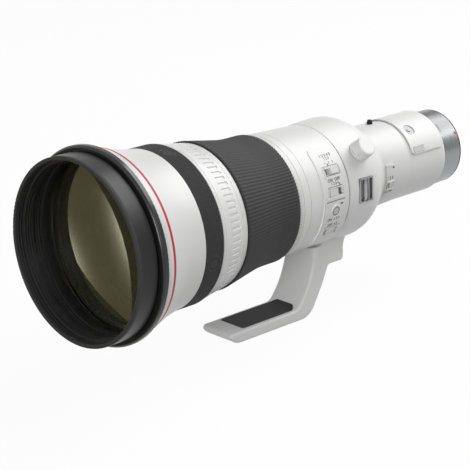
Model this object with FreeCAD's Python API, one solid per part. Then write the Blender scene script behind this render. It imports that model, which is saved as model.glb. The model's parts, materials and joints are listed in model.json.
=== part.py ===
import FreeCAD, Part
import math
import os

# Super-telephoto lens, in millimetres.
# The optical axis is Y, the camera mount face is at y = 0 and the front looks along -Y.
# +Z is up and +X is the photographer's left, the side of the switch panel.
# Angles round the lens are in degrees from +Z towards +X.

# Lengths along the axis, from the mount face forwards
MOUNT_RING_LENGTH = 24.0
REAR_BARREL_LENGTH = 86.5
RETAINER_LENGTH = 3.0
COLLAR_LENGTH = 58.5
MAIN_BARREL_LENGTH = 63.3
FOCUS_RING_LENGTH = 67.7
PRESET_RING_LENGTH = 32.0
GRIP_RING_LENGTH = 19.8
FRONT_BARREL_LENGTH = 51.2
FLANGE_LENGTH = 6.0
HOOD_SEAT_LENGTH = 17.0
RIM_LENGTH = 3.0

Y_RING = -MOUNT_RING_LENGTH
Y_REAR = Y_RING - REAR_BARREL_LENGTH
Y_RETAINER = Y_REAR - RETAINER_LENGTH
Y_COLLAR = Y_RETAINER - COLLAR_LENGTH
Y_MAIN = Y_COLLAR - MAIN_BARREL_LENGTH
Y_FOCUS = Y_MAIN - FOCUS_RING_LENGTH
Y_PRESET = Y_FOCUS - PRESET_RING_LENGTH
Y_GRIP = Y_PRESET - GRIP_RING_LENGTH
Y_FRONT = Y_GRIP - FRONT_BARREL_LENGTH
Y_FLANGE = Y_FRONT - FLANGE_LENGTH
Y_SEAT = Y_FLANGE - HOOD_SEAT_LENGTH
Y_RIM = Y_SEAT - RIM_LENGTH

# Outer radii: three sizes, and the steps from one ring to the next
FLANGE_RADIUS = 81.5
FRONT_BARREL_REAR_RADIUS = 67.4
MAIN_FRONT_RADIUS = 53.6
COLLAR_REAR_RADIUS = 39.6

FLANGE_ROUND = 2.2
HOOD_SEAT_STEP = 4.8
FRONT_BARREL_STEP = 2.0
GRIP_STEP = 0.1
PRESET_STEP = 0.3
PRESET_TAPER = 5.0
FOCUS_FRONT_STEP = 1.5
FOCUS_REAR_STEP = 2.2
MAIN_CREST = 0.4
MAIN_TAPER = 1.4
COLLAR_STEP = 0.2
COLLAR_HUMP = 1.5
REAR_FRONT_STEP = 1.6
REAR_TAPER = 1.6
MOUNT_RING_STEP = 1.4
MOUNT_RING_TAPER = 0.9

HOOD_SEAT_RADIUS = FLANGE_RADIUS - HOOD_SEAT_STEP
FRONT_BARREL_FRONT_RADIUS = FLANGE_RADIUS - FRONT_BARREL_STEP
GRIP_RADIUS = FRONT_BARREL_REAR_RADIUS - GRIP_STEP
PRESET_FRONT_RADIUS = GRIP_RADIUS - PRESET_STEP
PRESET_REAR_RADIUS = PRESET_FRONT_RADIUS - PRESET_TAPER
FOCUS_FRONT_RADIUS = PRESET_REAR_RADIUS + FOCUS_FRONT_STEP
FOCUS_REAR_RADIUS = MAIN_FRONT_RADIUS + FOCUS_REAR_STEP
MAIN_CREST_RADIUS = MAIN_FRONT_RADIUS + MAIN_CREST
MAIN_REAR_RADIUS = MAIN_FRONT_RADIUS - MAIN_TAPER
COLLAR_FRONT_RADIUS = MAIN_REAR_RADIUS + COLLAR_STEP
COLLAR_HUMP_RADIUS = COLLAR_FRONT_RADIUS + COLLAR_HUMP
REAR_FRONT_RADIUS = COLLAR_REAR_RADIUS - REAR_FRONT_STEP
REAR_BARREL_RADIUS = REAR_FRONT_RADIUS - REAR_TAPER
MOUNT_RING_FRONT_RADIUS = REAR_BARREL_RADIUS - MOUNT_RING_STEP
MOUNT_RING_REAR_RADIUS = MOUNT_RING_FRONT_RADIUS - MOUNT_RING_TAPER

# Clearances
SEAT_GAP = 0.05
SEAT_ANGLE = 0.1
RUNNING_GAP = 0.05
RING_GAP = 0.3
SLIDE_GAP = 0.15
SLIDE_FLOOR_GAP = 0.3

# Small roundings, bevels and overlaps that cuts run past a face
BEVEL = 0.4
EDGE_ROUND = 0.8
PAST = 1.0
QUARTER = 1.0 - math.sqrt(0.5)

# Walls of the carrying inner barrel and its seats
BARREL_WALL = 2.0
GRIP_WALL = 3.0
PRESET_WALL = 2.0
FOCUS_FRONT_WALL = 5.5
FOCUS_REAR_WALL = 4.3
FOCUS_LAND_LENGTH = 10.0
MAIN_WALL = 2.2
COLLAR_FRONT_WALL = 5.4
COLLAR_REAR_WALL = 1.6
RETAINER_SEAT = 2.0
PRESET_BORE = PRESET_REAR_RADIUS - PRESET_WALL
FOCUS_FRONT_BORE = FOCUS_FRONT_RADIUS - FOCUS_FRONT_WALL
FOCUS_REAR_BORE = FOCUS_REAR_RADIUS - FOCUS_REAR_WALL
MAIN_BORE = MAIN_REAR_RADIUS - MAIN_WALL
COLLAR_FRONT_BORE = COLLAR_FRONT_RADIUS - COLLAR_FRONT_WALL
COLLAR_REAR_BORE = COLLAR_REAR_RADIUS - COLLAR_REAR_WALL
RETAINER_BORE = COLLAR_REAR_BORE - RETAINER_SEAT
COLLAR_FRONT_LAND = 37.0
COLLAR_REAR_LAND = 5.0
INNER_FLANGE_LENGTH = 6.0
REAR_SPIGOT_LENGTH = 6.0

# Front tube
RIM_WALL = 3.2
BAFFLE_START = 8.0
BAFFLE_LENGTH = 8.0
BAFFLE_WALL = 5.3
RECESS_WALL = 2.7
LIP_RADIUS = HOOD_SEAT_RADIUS - RIM_WALL
BAFFLE_RADIUS = HOOD_SEAT_RADIUS - BAFFLE_WALL
RECESS_RADIUS = HOOD_SEAT_RADIUS - RECESS_WALL
SEAT_GROOVE_WIDTH = 1.6
SEAT_GROOVE_DEPTH = 2.4

# Front glass and what holds it
CONE_SHARE_AT_GLASS = 0.63
FRONT_BORE_WALL = 2.4
FRONT_GLASS_GAP = 0.2
FRONT_GLASS_EDGE = 5.0
FRONT_GLASS_SET_BACK = 11.6
FRONT_GLASS_SAG = 9.5
FRONT_GLASS_HOLLOW = 2.5
RETAINING_RING_LENGTH = 2.6
RETAINING_RING_WALL = 1.1
GLASS_SEAT_DEPTH = 3.6
GLASS_SEAT_LENGTH = 4.0
FRONT_JOINT_WALL = 2.4
CONE_DROP = FRONT_BARREL_FRONT_RADIUS - FRONT_BARREL_REAR_RADIUS
FRONT_BORE = FRONT_BARREL_REAR_RADIUS + CONE_SHARE_AT_GLASS * CONE_DROP - FRONT_BORE_WALL
FRONT_GLASS_RADIUS = FRONT_BORE - FRONT_GLASS_GAP
RETAINING_RING_BORE = FRONT_BORE - RETAINING_RING_WALL
GLASS_SEAT_BORE = FRONT_BORE - GLASS_SEAT_DEPTH
FRONT_JOINT_BORE = FRONT_BARREL_REAR_RADIUS - FRONT_JOINT_WALL
FRONT_JOINT_TAPER = 8.0
FRONT_CONE_CURVE = ((0.20, 0.80), (0.42, 0.49), (0.70, 0.19))
RED_RING_SET_BACK = 8.4
RED_RING_WIDTH = 2.1
RED_RING_DEPTH = 0.6

# Second glass
SECOND_CELL_WALL = 6.2
SECOND_GLASS_LENGTH = 14.0
SECOND_GLASS_SAG = 3.0
SECOND_GLASS_HOLLOW = 2.0
SECOND_CELL_LENGTH = 20.0
SECOND_CELL_LIP = 1.5
SECOND_CELL_STEP = 3.0

# Stop buttons in the grip ring
STOP_BUTTONS = 4
STOP_BUTTON_ANGLE = 11.6
STOP_BUTTON_RADIUS = 5.75
STOP_BUTTON_FLANGE = 6.8
STOP_BUTTON_PROUD = 0.3
STOP_BUTTON_TRAVEL = 0.8
BUTTON_FLANGE = 0.8

# Focus ring
FOCUS_RUBBER_WALL = 1.8
WAIST_GAP = 0.8
LAND_MARGIN = 1.0
FOCUS_CURVE = ((0.22, 0.66), (0.42, 0.35), (0.60, 0.10), (0.76, 0.01))

# Main barrel and its switch panel
SEAM_STEPS = (6.3, 14.0)
SEAM_WIDTH = 0.5
SEAM_DEPTH = 0.3
PANEL_SET_BACK = 3.0
PANEL_LENGTH = 31.0
PANEL_START = 36.0
PANEL_END = 140.0
PANEL_PROUD = 0.1
PANEL_RADIUS = MAIN_CREST_RADIUS + PANEL_PROUD
PANEL_WALL = 2.0
PANEL_CORNER = 5.0
SWITCH_ANGLES = (61.0, 80.5, 120.0)
SWITCH_REST = (1.0, -1.0, 0.0)
SWITCH_LENGTH = 9.0
SWITCH_WIDTH = 5.6
SWITCH_TRAVEL = 6.0
SWITCH_PROUD = 1.1
SWITCH_FOOT_LENGTH = 12.5
SWITCH_FOOT_WIDTH = 8.0
SWITCH_FOOT_HEIGHT = 1.1
SET_BUTTON_ANGLE = 98.4
SET_BUTTON_RADIUS = 4.4
SET_BUTTON_FLANGE = 5.8
SET_BUTTON_PROUD = 0.5
SET_BUTTON_TRAVEL = 0.5

# Collar, boss, strap bars and lock knob
BOSS_HALF_WIDTH = 19.0
BOSS_FRONT_OVERHANG = 6.5
BOSS_LENGTH = 39.0
BOSS_HEIGHT = 9.1
BOSS_BOTTOM = COLLAR_HUMP_RADIUS + BOSS_HEIGHT
BOSS_CORNER = 5.0
BOSS_CLEARANCE = 1.7
BOSS_CLEAR_RADIUS = MAIN_CREST_RADIUS + PANEL_PROUD + BOSS_CLEARANCE
BOSS_ROOT = 6.0
BOSS_FLARE = 6.0
HUMP_FROM_REAR = 31.5
SHOULDER_CURVE = ((0.25, 0.07), (0.52, 0.30), (0.80, 0.73))
LUG_ANGLE = 87.5
LUG_FROM_REAR = 39.0
LUG_LENGTH = 16.4
LUG_HEIGHT = 22.0
LUG_WALL = 1.3
LUG_DEPTH = 5.1
LUG_INSET = 0.4
LUG_BAR_WIDTH = 4.6
LUG_BAR_THICKNESS = 1.9
LUG_BAR_ROUND = 0.7
LUG_FACE = COLLAR_HUMP_RADIUS - LUG_INSET
LUG_FLOOR = LUG_FACE - LUG_DEPTH
KNOB_ANGLE = 51.5
KNOB_STAND = 0.4
KNOB_EDGE = 0.8
KNOB_FROM_REAR = 37.0
KNOB_RADIUS = 9.6
KNOB_FACE_RADIUS = 8.8
KNOB_HEIGHT = 11.8
KNOB_SEAT_RADIUS = 8.0
STUD_RADIUS = 3.0
STUD_END_GAP = 0.4
STUD_GRIP = 7.0

# Foot, pad and screws
FOOT_HALF_WIDTH = 18.0
FOOT_HEAD_HEIGHT = 10.3
FOOT_NECK_LENGTH = 19.7
FOOT_REACH = 143.0
SOLE_TOP = 106.0
SOLE_BOTTOM = 116.6
SOLE_LENGTH = 84.6
SOLE_SPLIT = 1.5
HEEL_LENGTH = 16.5
NOSE_LENGTH = 9.0
CHANNEL_HALF_WIDTH = 4.2
CHANNEL_DEPTH = 2.0
CHANNEL_RUN_OUT = 2.0
FOOT_ROUNDING = 2.5
HEAD_ROUND = 4.0
HEAD_STEP = 5.0
SHOULDER_ROUND = 30.0
NECK_ROOT_ROUND = 3.0
NECK_BEND_ROUND = 60.0
NECK_FRONT_SHARE = 0.335
NECK_FRONT_DROP = 15.2
NECK_REAR_BEND = (8.0, 17.7)
NECK_FILLET = 9.0
HEEL_ROUND = 18.0
NOSE_BOTTOM_ROUND = 15.0
NOSE_TOP_ROUND = 3.0
PAD_HALF_WIDTH = 14.0
PAD_FRONT_MARGIN = 21.0
PAD_CLIMB = 48.0
PAD_THICKNESS = 0.9
PAD_SINK = 0.5
PAD_CORNER = 2.5
PAD_HEEL_CORNER = 8.0
LARGE_THREAD_RADIUS = 3.97
SMALL_THREAD_RADIUS = 2.55
THREAD_DEPTH = 7.0
LARGE_THREAD_FROM_TIP = 60.0
SMALL_THREAD_FROM_TIP = 34.0
FOOT_SCREW_RADIUS = 3.0
FOOT_SCREW_HEAD_RADIUS = 5.0
FOOT_SCREW_HEAD_HEIGHT = 3.6
FOOT_SCREW_SINK = 0.4
FOOT_SCREW_SPACING = 22.0
FOOT_SCREW_FROM_REAR = 12.0
FOOT_SCREW_BITE = 6.5
SOCKET_RADIUS = 2.3
SOCKET_DEPTH = 2.2

# Rear barrel and its small panel
REAR_WALL = 2.6
REAR_MOUNT_BORE = 30.8
REAR_TAPER_MARGIN = 4.0
REAR_PANEL_SET_BACK = 2.0
REAR_PANEL_LENGTH = 12.5
REAR_PANEL_START = 72.0
REAR_PANEL_END = 120.0
REAR_PANEL_WALL = 1.2
REAR_PANEL_PROUD = 0.5
REAR_PANEL_CORNER = 2.0
REAR_WELL_DEPTH = 1.6
REAR_SWITCH_ANGLE = 101.0
REAR_SWITCH_LENGTH = 4.0
REAR_SWITCH_WIDTH = 4.4
REAR_SWITCH_MARGIN = 1.2
REAR_SWITCH_TRAVEL = 1.6
REAR_SWITCH_PROUD = 0.9

# Drop-in filter
COVER_REACH = 70.0
COVER_FRONT = 70.0
COVER_REAR = 27.0
COVER_WALL = 1.3
COVER_GAP = 0.35
COVER_CORNER = 4.0
FILTER_Y = 58.5
FRAME_LENGTH = 11.0
FRAME_HALF_WIDTH = 28.4
FRAME_TOP = 50.0
FILTER_SEAT_LENGTH = 1.5
FILTER_RADIUS = 26.0
FILTER_RIM_LENGTH = 7.5
FILTER_RIM_WALL = 1.8
FILTER_GLASS_LENGTH = 2.0
FILTER_LIP_LENGTH = 2.0
FILTER_LIP = 1.0
BULKHEAD_BORE = 24.8
BULKHEAD_MARGIN = 4.0
RELEASE_ANGLE = 64.5
RELEASE_Y = 60.5
RELEASE_LENGTH = 14.0
RELEASE_WIDTH = 5.0
RELEASE_DEPTH = 2.6
RELEASE_PROUD = 0.2
RELEASE_TRAVEL = 0.8
RELEASE_CORNER = 1.2
RELEASE_DRAW = 14.0
LOCK_ANGLE = 34.5
LOCK_Y = 60.2
LOCK_WIDTH = 12.0
LOCK_PIN_RADIUS = 1.9
LOCK_PLATE = 0.8
LOCK_SINK = 0.3

# Camera mount
MOUNT_WALL = 3.4
RING_GROOVE_START = 2.0
RING_SHELF_LENGTH = 4.0
RING_SHELF_MARGIN = 2.0
PLATE_THICKNESS = 2.0
PLATE_RADIUS = 32.6
THROAT_RADIUS = 24.6
SPIGOT_RADIUS = 26.2
SPIGOT_LENGTH = 4.6
LUG_TIP_RADIUS = 26.9
LUG_TIP_LENGTH = 2.0
BAYONET_LUGS = 3
BAYONET_LUG_ANGLE = 50.0
BAYONET_FIRST_LUG = 20.0
SEAL_PROUD = 0.3
SEAL_SEAT = 0.9
SEAL_MARGIN = 0.3
MOUNT_SCREWS = 4
MOUNT_FIRST_SCREW = 45.0
MOUNT_SCREW_CIRCLE = 29.6
MOUNT_SCREW_RADIUS = 0.85
MOUNT_SCREW_HEAD_RADIUS = 1.6
MOUNT_SCREW_HEAD_HEIGHT = 0.8
MOUNT_SCREW_SINK = 0.1
MOUNT_SCREW_LENGTH = 4.0
CROSS_WIDTH = 0.45
CROSS_DEPTH = 1.0
CONTACTS = 12
CONTACT_PITCH = 7.0
CONTACT_RADIUS = 0.7
CONTACT_PROUD = 0.4
CONTACT_DEPTH = 4.0
CONTACT_BLOCK_HEIGHT = 3.6
CONTACT_BLOCK_REACH = 48.0
CONTACT_BLOCK_LENGTH = 7.0

# Rear glass
REAR_CELL_LENGTH = 20.0
REAR_CELL_SET_IN = 4.0
REAR_GLASS_RADIUS = 17.0
REAR_GLASS_LENGTH = 9.0
REAR_GLASS_HOLLOW = 1.6
REAR_LIP_LENGTH = 1.5
REAR_CELL_WALL = 2.0
REAR_CELL_LIP = 1.2

# Focus group, iris and stabiliser inside the inner barrel
MOTOR_LENGTH = 9.0
MOTOR_BORE = 38.0
MOTOR_SET_BACK = 4.0
IRIS_LENGTH = 8.0
IRIS_SET_BACK = 6.0
IRIS_BORE = 20.0
ROD_RADIUS = 2.0
ROD_CIRCLE = 40.0
ROD_BITE = 3.0
FOCUS_GLASS_RADIUS = 24.0
FOCUS_GLASS_LENGTH = 9.0
FOCUS_GLASS_HOLLOW = 2.1
FOCUS_CELL_LIP = 1.2
CARRIAGE_LENGTH = 14.0
CARRIAGE_WALL = 2.4
CARRIAGE_TRAVEL = 9.0
CARRIAGE_END_GAP = 0.4
CARRIAGE_ARM_WIDTH = 8.0
CARRIAGE_BUSH_RADIUS = 4.5
IRIS_BLADES = 9
IRIS_BLADE_THICKNESS = 0.3
IRIS_RING_LENGTH = 2.0
IRIS_RING_WALL = 5.0
IRIS_RING_RADIUS = 40.0
BLADE_ROOM = 2.7
BLADE_OVERLAP = 3.0
BLADE_DRAW_BACK = 4.0
BLADE_SPACE = 0.6
BASE_LENGTH = 4.0
BASE_SET_BACK = 6.0
BASE_BORE = 24.0
YOKE_THICKNESS = 2.5
YOKE_HALF_WIDTH = 30.0
YOKE_HALF_HEIGHT = 27.0
STABILISER_GAP = 0.4
STABILISER_TRAVEL = 1.5
STABILISER_GLASS_RADIUS = 19.0
STABILISER_GLASS_LENGTH = 6.0
STABILISER_CELL_LENGTH = 8.0
STABILISER_CELL_WALL = 2.0
STABILISER_LIP = 1.5
GUIDE_WALL = 3.0


def vec(x, y, z):
    return FreeCAD.Vector(x, y, z)


ORIGIN = vec(0, 0, 0)
AXIS = vec(0, 1, 0)
UP = vec(0, 0, 1)


def outline_face(points):
    """Face in the plane x = 0 from (y, z) points. A point with a third item is only passed through."""
    edges = []
    start = points[0]
    passed = []
    for point in points[1:] + points[:1]:
        if len(point) == 3:
            passed.append(vec(0, point[0], point[1]))
            continue
        first = vec(0, start[0], start[1])
        last = vec(0, point[0], point[1])
        if len(passed) == 1:
            edges.append(Part.Arc(first, passed[0], last).toShape())
        elif passed:
            curve = Part.BSplineCurve()
            curve.interpolate([first] + passed + [last])
            edges.append(curve.toShape())
        else:
            edges.append(Part.makeLine(first, last))
        start = point
        passed = []
    return Part.Face(Part.Wire(edges))


def turned(points, angle=360.0):
    """Solid turned round the optical axis from (y, radius) points."""
    return outline_face(points).revolve(ORIGIN, AXIS, angle)


def tube(y_front, y_rear, outer, inner):
    return turned([(y_front, inner), (y_front, outer), (y_rear, outer), (y_rear, inner)])


def disc(y_front, y_rear, radius):
    return turned([(y_front, 0.0), (y_front, radius), (y_rear, radius), (y_rear, 0.0)])


def sector(y_front, y_rear, outer, inner, first, last):
    """Piece of a tube between two angles."""
    points = [(y_front, inner), (y_front, outer), (y_rear, outer), (y_rear, inner)]
    return at_angle(turned(points, last - first), first)


def at_angle(shape, angle):
    """Carry a shape from the top of the lens round to an angle."""
    moved = shape.copy()
    moved.rotate(ORIGIN, AXIS, angle)
    return moved


def block(x_size, y_size, z_size, centre):
    corner = vec(centre.x - x_size / 2, centre.y - y_size / 2, centre.z - z_size / 2)
    return Part.makeBox(x_size, y_size, z_size, corner)


def standing_block(length, width, low, high, y):
    """Block on top of the lens between two radii, its length along the axis."""
    return block(width, length, high - low, vec(0, y, (low + high) / 2))


def standing_rod(radius, low, high, y, x=0.0):
    return Part.makeCylinder(radius, high - low, vec(x, y, low), UP)


def rounded(shape, radius, direction):
    """Round the straight edges of a shape that run along a direction."""
    chosen = []
    for edge in shape.Edges:
        if len(edge.Vertexes) < 2:
            continue
        along = edge.Vertexes[1].Point - edge.Vertexes[0].Point
        if along.Length and along.normalize().cross(direction).Length < 0.01:
            if edge.Curve.TypeId == "Part::GeomLine":
                chosen.append(edge)
    return shape.makeFillet(radius, chosen)


def rounded_sector(y_front, y_rear, outer, inner, first, last, radius):
    """Piece of a tube with its four corners rounded, seen from outside."""
    shape = sector(y_front, y_rear, outer, inner, first, last)
    corners = []
    for edge in shape.Edges:
        if edge.Curve.TypeId == "Part::GeomLine":
            along = edge.Vertexes[1].Point - edge.Vertexes[0].Point
            if abs(along.y) < 0.001:
                corners.append(edge)
    return shape.makeFillet(radius, corners)


def swept(shape, travel):
    """Space that a shape passes through on a straight way."""
    swaths = [face.extrude(travel) for face in shape.Faces if abs(face.normalAt(0, 0).dot(travel)) > 0.001]
    return shape.fuse(swaths)


def save(name, *shapes):
    """Write the solids of one node to its file."""
    solids = []
    for shape in shapes:
        solids.extend(shape.Solids)
    joined = solids[0] if len(solids) == 1 else Part.makeCompound(solids)
    joined.exportStep(os.path.join("parts", name + ".step"))


def dome(y_vertex, y_edge, radius):
    """Point half way out on a ball face that runs from its vertex on the axis to its edge."""
    height = y_edge - y_vertex
    ball = (radius ** 2 + height ** 2) / (2 * abs(height))
    half_height = ball - math.sqrt(ball ** 2 - radius ** 2 / 4)
    return (y_vertex + math.copysign(half_height, height), radius / 2, "arc")


# Front group: the tube that takes the hood, the white front barrel and the large glass

def make_front_rim():
    near = EDGE_ROUND * QUARTER
    save("front_rim", turned([
        (Y_RIM, LIP_RADIUS + EDGE_ROUND), (Y_RIM, HOOD_SEAT_RADIUS - EDGE_ROUND),
        (Y_RIM + near, HOOD_SEAT_RADIUS - near, "arc"), (Y_RIM + EDGE_ROUND, HOOD_SEAT_RADIUS),
        (Y_SEAT, HOOD_SEAT_RADIUS), (Y_SEAT, LIP_RADIUS), (Y_RIM + EDGE_ROUND, LIP_RADIUS),
        (Y_RIM + near, LIP_RADIUS + near, "arc")]))


def make_hood_seat():
    step_front = Y_RIM + BAFFLE_START
    step_rear = step_front + BAFFLE_LENGTH
    groove_front = Y_FLANGE - SEAT_GROOVE_WIDTH
    groove_radius = HOOD_SEAT_RADIUS - SEAT_GROOVE_DEPTH
    outside = [(Y_SEAT, HOOD_SEAT_RADIUS), (groove_front, HOOD_SEAT_RADIUS), (groove_front, groove_radius),
               (Y_FLANGE, groove_radius), (Y_FLANGE, HOOD_SEAT_RADIUS), (Y_FRONT, HOOD_SEAT_RADIUS)]
    inside = [(Y_FRONT, RECESS_RADIUS), (step_rear, RECESS_RADIUS), (step_rear, BAFFLE_RADIUS),
              (step_front, BAFFLE_RADIUS), (step_front, LIP_RADIUS), (Y_SEAT, LIP_RADIUS)]
    shape = turned(outside + inside)
    save("hood_seat", shape)


def make_flange_ring():
    bore = HOOD_SEAT_RADIUS + SEAT_GAP
    near = FLANGE_ROUND * QUARTER
    far = EDGE_ROUND * QUARTER
    save("flange_ring", turned([
        (Y_FLANGE, bore), (Y_FLANGE, FLANGE_RADIUS - FLANGE_ROUND),
        (Y_FLANGE + near, FLANGE_RADIUS - near, "arc"), (Y_FLANGE + FLANGE_ROUND, FLANGE_RADIUS),
        (Y_FRONT - EDGE_ROUND, FLANGE_RADIUS), (Y_FRONT - far, FLANGE_RADIUS - far, "arc"),
        (Y_FRONT, FLANGE_RADIUS - EDGE_ROUND), (Y_FRONT, bore)]))


Y_GLASS = Y_FRONT + FRONT_GLASS_SET_BACK
Y_GLASS_REAR = Y_GLASS + FRONT_GLASS_EDGE
Y_RED = Y_FRONT + RED_RING_SET_BACK


def front_barrel_outside():
    """Slightly hollow white cone."""
    length = Y_GRIP - Y_FRONT
    curve = [(Y_FRONT + along * length, FRONT_BARREL_REAR_RADIUS + share * CONE_DROP, "curve")
             for along, share in FRONT_CONE_CURVE]
    return [(Y_FRONT, FRONT_BARREL_FRONT_RADIUS)] + curve + [(Y_GRIP, FRONT_BARREL_REAR_RADIUS)]


def make_front_barrel():
    barrel = turned(front_barrel_outside() + [
        (Y_GRIP, FRONT_JOINT_BORE), (Y_GRIP - INNER_FLANGE_LENGTH - FRONT_JOINT_TAPER, FRONT_JOINT_BORE),
        (Y_GLASS_REAR + GLASS_SEAT_LENGTH, GLASS_SEAT_BORE), (Y_GLASS_REAR, GLASS_SEAT_BORE),
        (Y_GLASS_REAR, FRONT_BORE), (Y_FRONT, FRONT_BORE)])
    outside = turned(front_barrel_outside() + [(Y_GRIP, 0.0), (Y_FRONT, 0.0)])
    inset = outside.makeOffsetShape(-RED_RING_DEPTH, 0.001, join=2)
    groove = tube(Y_RED, Y_RED + RED_RING_WIDTH, FLANGE_RADIUS, FRONT_BORE).cut(inset)
    save("front_barrel", barrel.cut(groove))
    save("red_ring", groove.common(outside))


def make_front_glass():
    vertex = Y_GLASS - FRONT_GLASS_SAG
    hollow = Y_GLASS_REAR - FRONT_GLASS_HOLLOW
    clear_radius = RETAINING_RING_BORE - SEAT_GAP
    save("front_glass", turned([
        (vertex, 0.0), dome(vertex, Y_GLASS, clear_radius), (Y_GLASS, clear_radius),
        (Y_GLASS, FRONT_GLASS_RADIUS), (Y_GLASS_REAR, FRONT_GLASS_RADIUS), (Y_GLASS_REAR, GLASS_SEAT_BORE),
        dome(hollow, Y_GLASS_REAR, GLASS_SEAT_BORE), (hollow, 0.0)]))
    outer = FRONT_BORE - SEAT_GAP
    save("front_retaining_ring", turned([
        (Y_GLASS - RETAINING_RING_LENGTH, RETAINING_RING_BORE + EDGE_ROUND),
        (Y_GLASS - RETAINING_RING_LENGTH, outer), (Y_GLASS, outer), (Y_GLASS, RETAINING_RING_BORE)]))


# Inner barrel: one long stepped tube that carries every ring and group

GRIP_BORE = GRIP_RADIUS - GRIP_WALL
COLLAR_LAND_END = Y_COLLAR + COLLAR_FRONT_LAND
REAR_LAND_START = Y_RETAINER - COLLAR_REAR_LAND
INNER_FRONT_BORE = PRESET_BORE - RUNNING_GAP - BARREL_WALL
INNER_FOCUS_BORE = FOCUS_FRONT_BORE - RUNNING_GAP - BARREL_WALL
INNER_MAIN_BORE = MAIN_BORE - BARREL_WALL
INNER_COLLAR_BORE = COLLAR_FRONT_BORE - RUNNING_GAP - BARREL_WALL
INNER_REAR_BORE = RETAINER_BORE - BARREL_WALL


def make_inner_barrel():
    flange = FRONT_JOINT_BORE - SEAT_GAP
    grip = GRIP_BORE - SEAT_GAP
    preset = PRESET_BORE - RUNNING_GAP
    focus_front = FOCUS_FRONT_BORE - RUNNING_GAP
    focus_rear = FOCUS_REAR_BORE - RUNNING_GAP
    collar_front = COLLAR_FRONT_BORE - RUNNING_GAP
    collar_rear = COLLAR_REAR_BORE - RUNNING_GAP
    outside = [
        (Y_GRIP - INNER_FLANGE_LENGTH, flange), (Y_GRIP, flange), (Y_GRIP, grip), (Y_PRESET, grip),
        (Y_PRESET, preset), (Y_FOCUS, preset), (Y_FOCUS, focus_front),
        (Y_FOCUS + FOCUS_LAND_LENGTH, focus_front), (Y_MAIN - FOCUS_LAND_LENGTH, focus_rear),
        (Y_MAIN, focus_rear), (Y_MAIN, MAIN_BORE), (Y_COLLAR, MAIN_BORE), (Y_COLLAR, collar_front),
        (COLLAR_LAND_END, collar_front), (REAR_LAND_START, collar_rear), (Y_RETAINER, collar_rear),
        (Y_RETAINER, RETAINER_BORE), (Y_REAR, RETAINER_BORE)]
    inside = [
        (Y_REAR, INNER_REAR_BORE), (REAR_LAND_START, INNER_REAR_BORE), (COLLAR_LAND_END, INNER_COLLAR_BORE),
        (Y_COLLAR, INNER_COLLAR_BORE), (Y_COLLAR - BARREL_WALL, INNER_MAIN_BORE),
        (Y_MAIN - FOCUS_LAND_LENGTH, INNER_MAIN_BORE), (Y_FOCUS + FOCUS_LAND_LENGTH, INNER_FOCUS_BORE),
        (Y_FOCUS - BARREL_WALL, INNER_FOCUS_BORE), (Y_FOCUS - BARREL_WALL, INNER_FRONT_BORE),
        (Y_SECOND_SEAT, INNER_FRONT_BORE), (Y_SECOND_SEAT, SECOND_CELL_SEAT),
        (Y_GRIP - INNER_FLANGE_LENGTH, SECOND_CELL_SEAT)]
    save("inner_barrel", turned(outside + inside))


SECOND_CELL_SEAT = GRIP_BORE - BARREL_WALL
SECOND_CELL_RADIUS = SECOND_CELL_SEAT - SEAT_GAP
SECOND_GLASS_RADIUS = SECOND_CELL_RADIUS - SECOND_CELL_WALL - SEAT_GAP
Y_SECOND_SEAT = Y_PRESET - SECOND_CELL_STEP


def make_second_group():
    """Second glass in its cell, seated on the step inside the grip ring."""
    y_rear = Y_SECOND_SEAT
    y_front = y_rear - SECOND_CELL_LENGTH
    inner = SECOND_GLASS_RADIUS + SEAT_GAP
    middle = (y_front + y_rear) / 2
    lip = SECOND_GLASS_RADIUS - SECOND_CELL_LIP
    glass_rear = middle + SECOND_GLASS_LENGTH / 2
    save("second_cell", turned([
        (y_front, inner), (y_front, SECOND_CELL_RADIUS), (y_rear, SECOND_CELL_RADIUS), (y_rear, lip),
        (glass_rear, lip), (glass_rear, inner)]))
    glass_front = glass_rear - SECOND_GLASS_LENGTH
    vertex = glass_front - SECOND_GLASS_SAG
    hollow = glass_rear - SECOND_GLASS_HOLLOW
    save("second_glass", turned([
        (vertex, 0.0), dome(vertex, glass_front, SECOND_GLASS_RADIUS), (glass_front, SECOND_GLASS_RADIUS),
        (glass_rear, SECOND_GLASS_RADIUS), (glass_rear, lip), dome(hollow, glass_rear, lip),
        (hollow, 0.0)]))


# Grip ring with its buttons, preset ring and focus ring

Y_STOP_BUTTON = (Y_GRIP + Y_PRESET) / 2
STOP_FLANGE_LOW = GRIP_BORE + STOP_BUTTON_TRAVEL + SLIDE_GAP
STOP_FLANGE_HIGH = STOP_FLANGE_LOW + BUTTON_FLANGE
STOP_BUTTON_TOP = GRIP_RADIUS + STOP_BUTTON_PROUD


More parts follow.
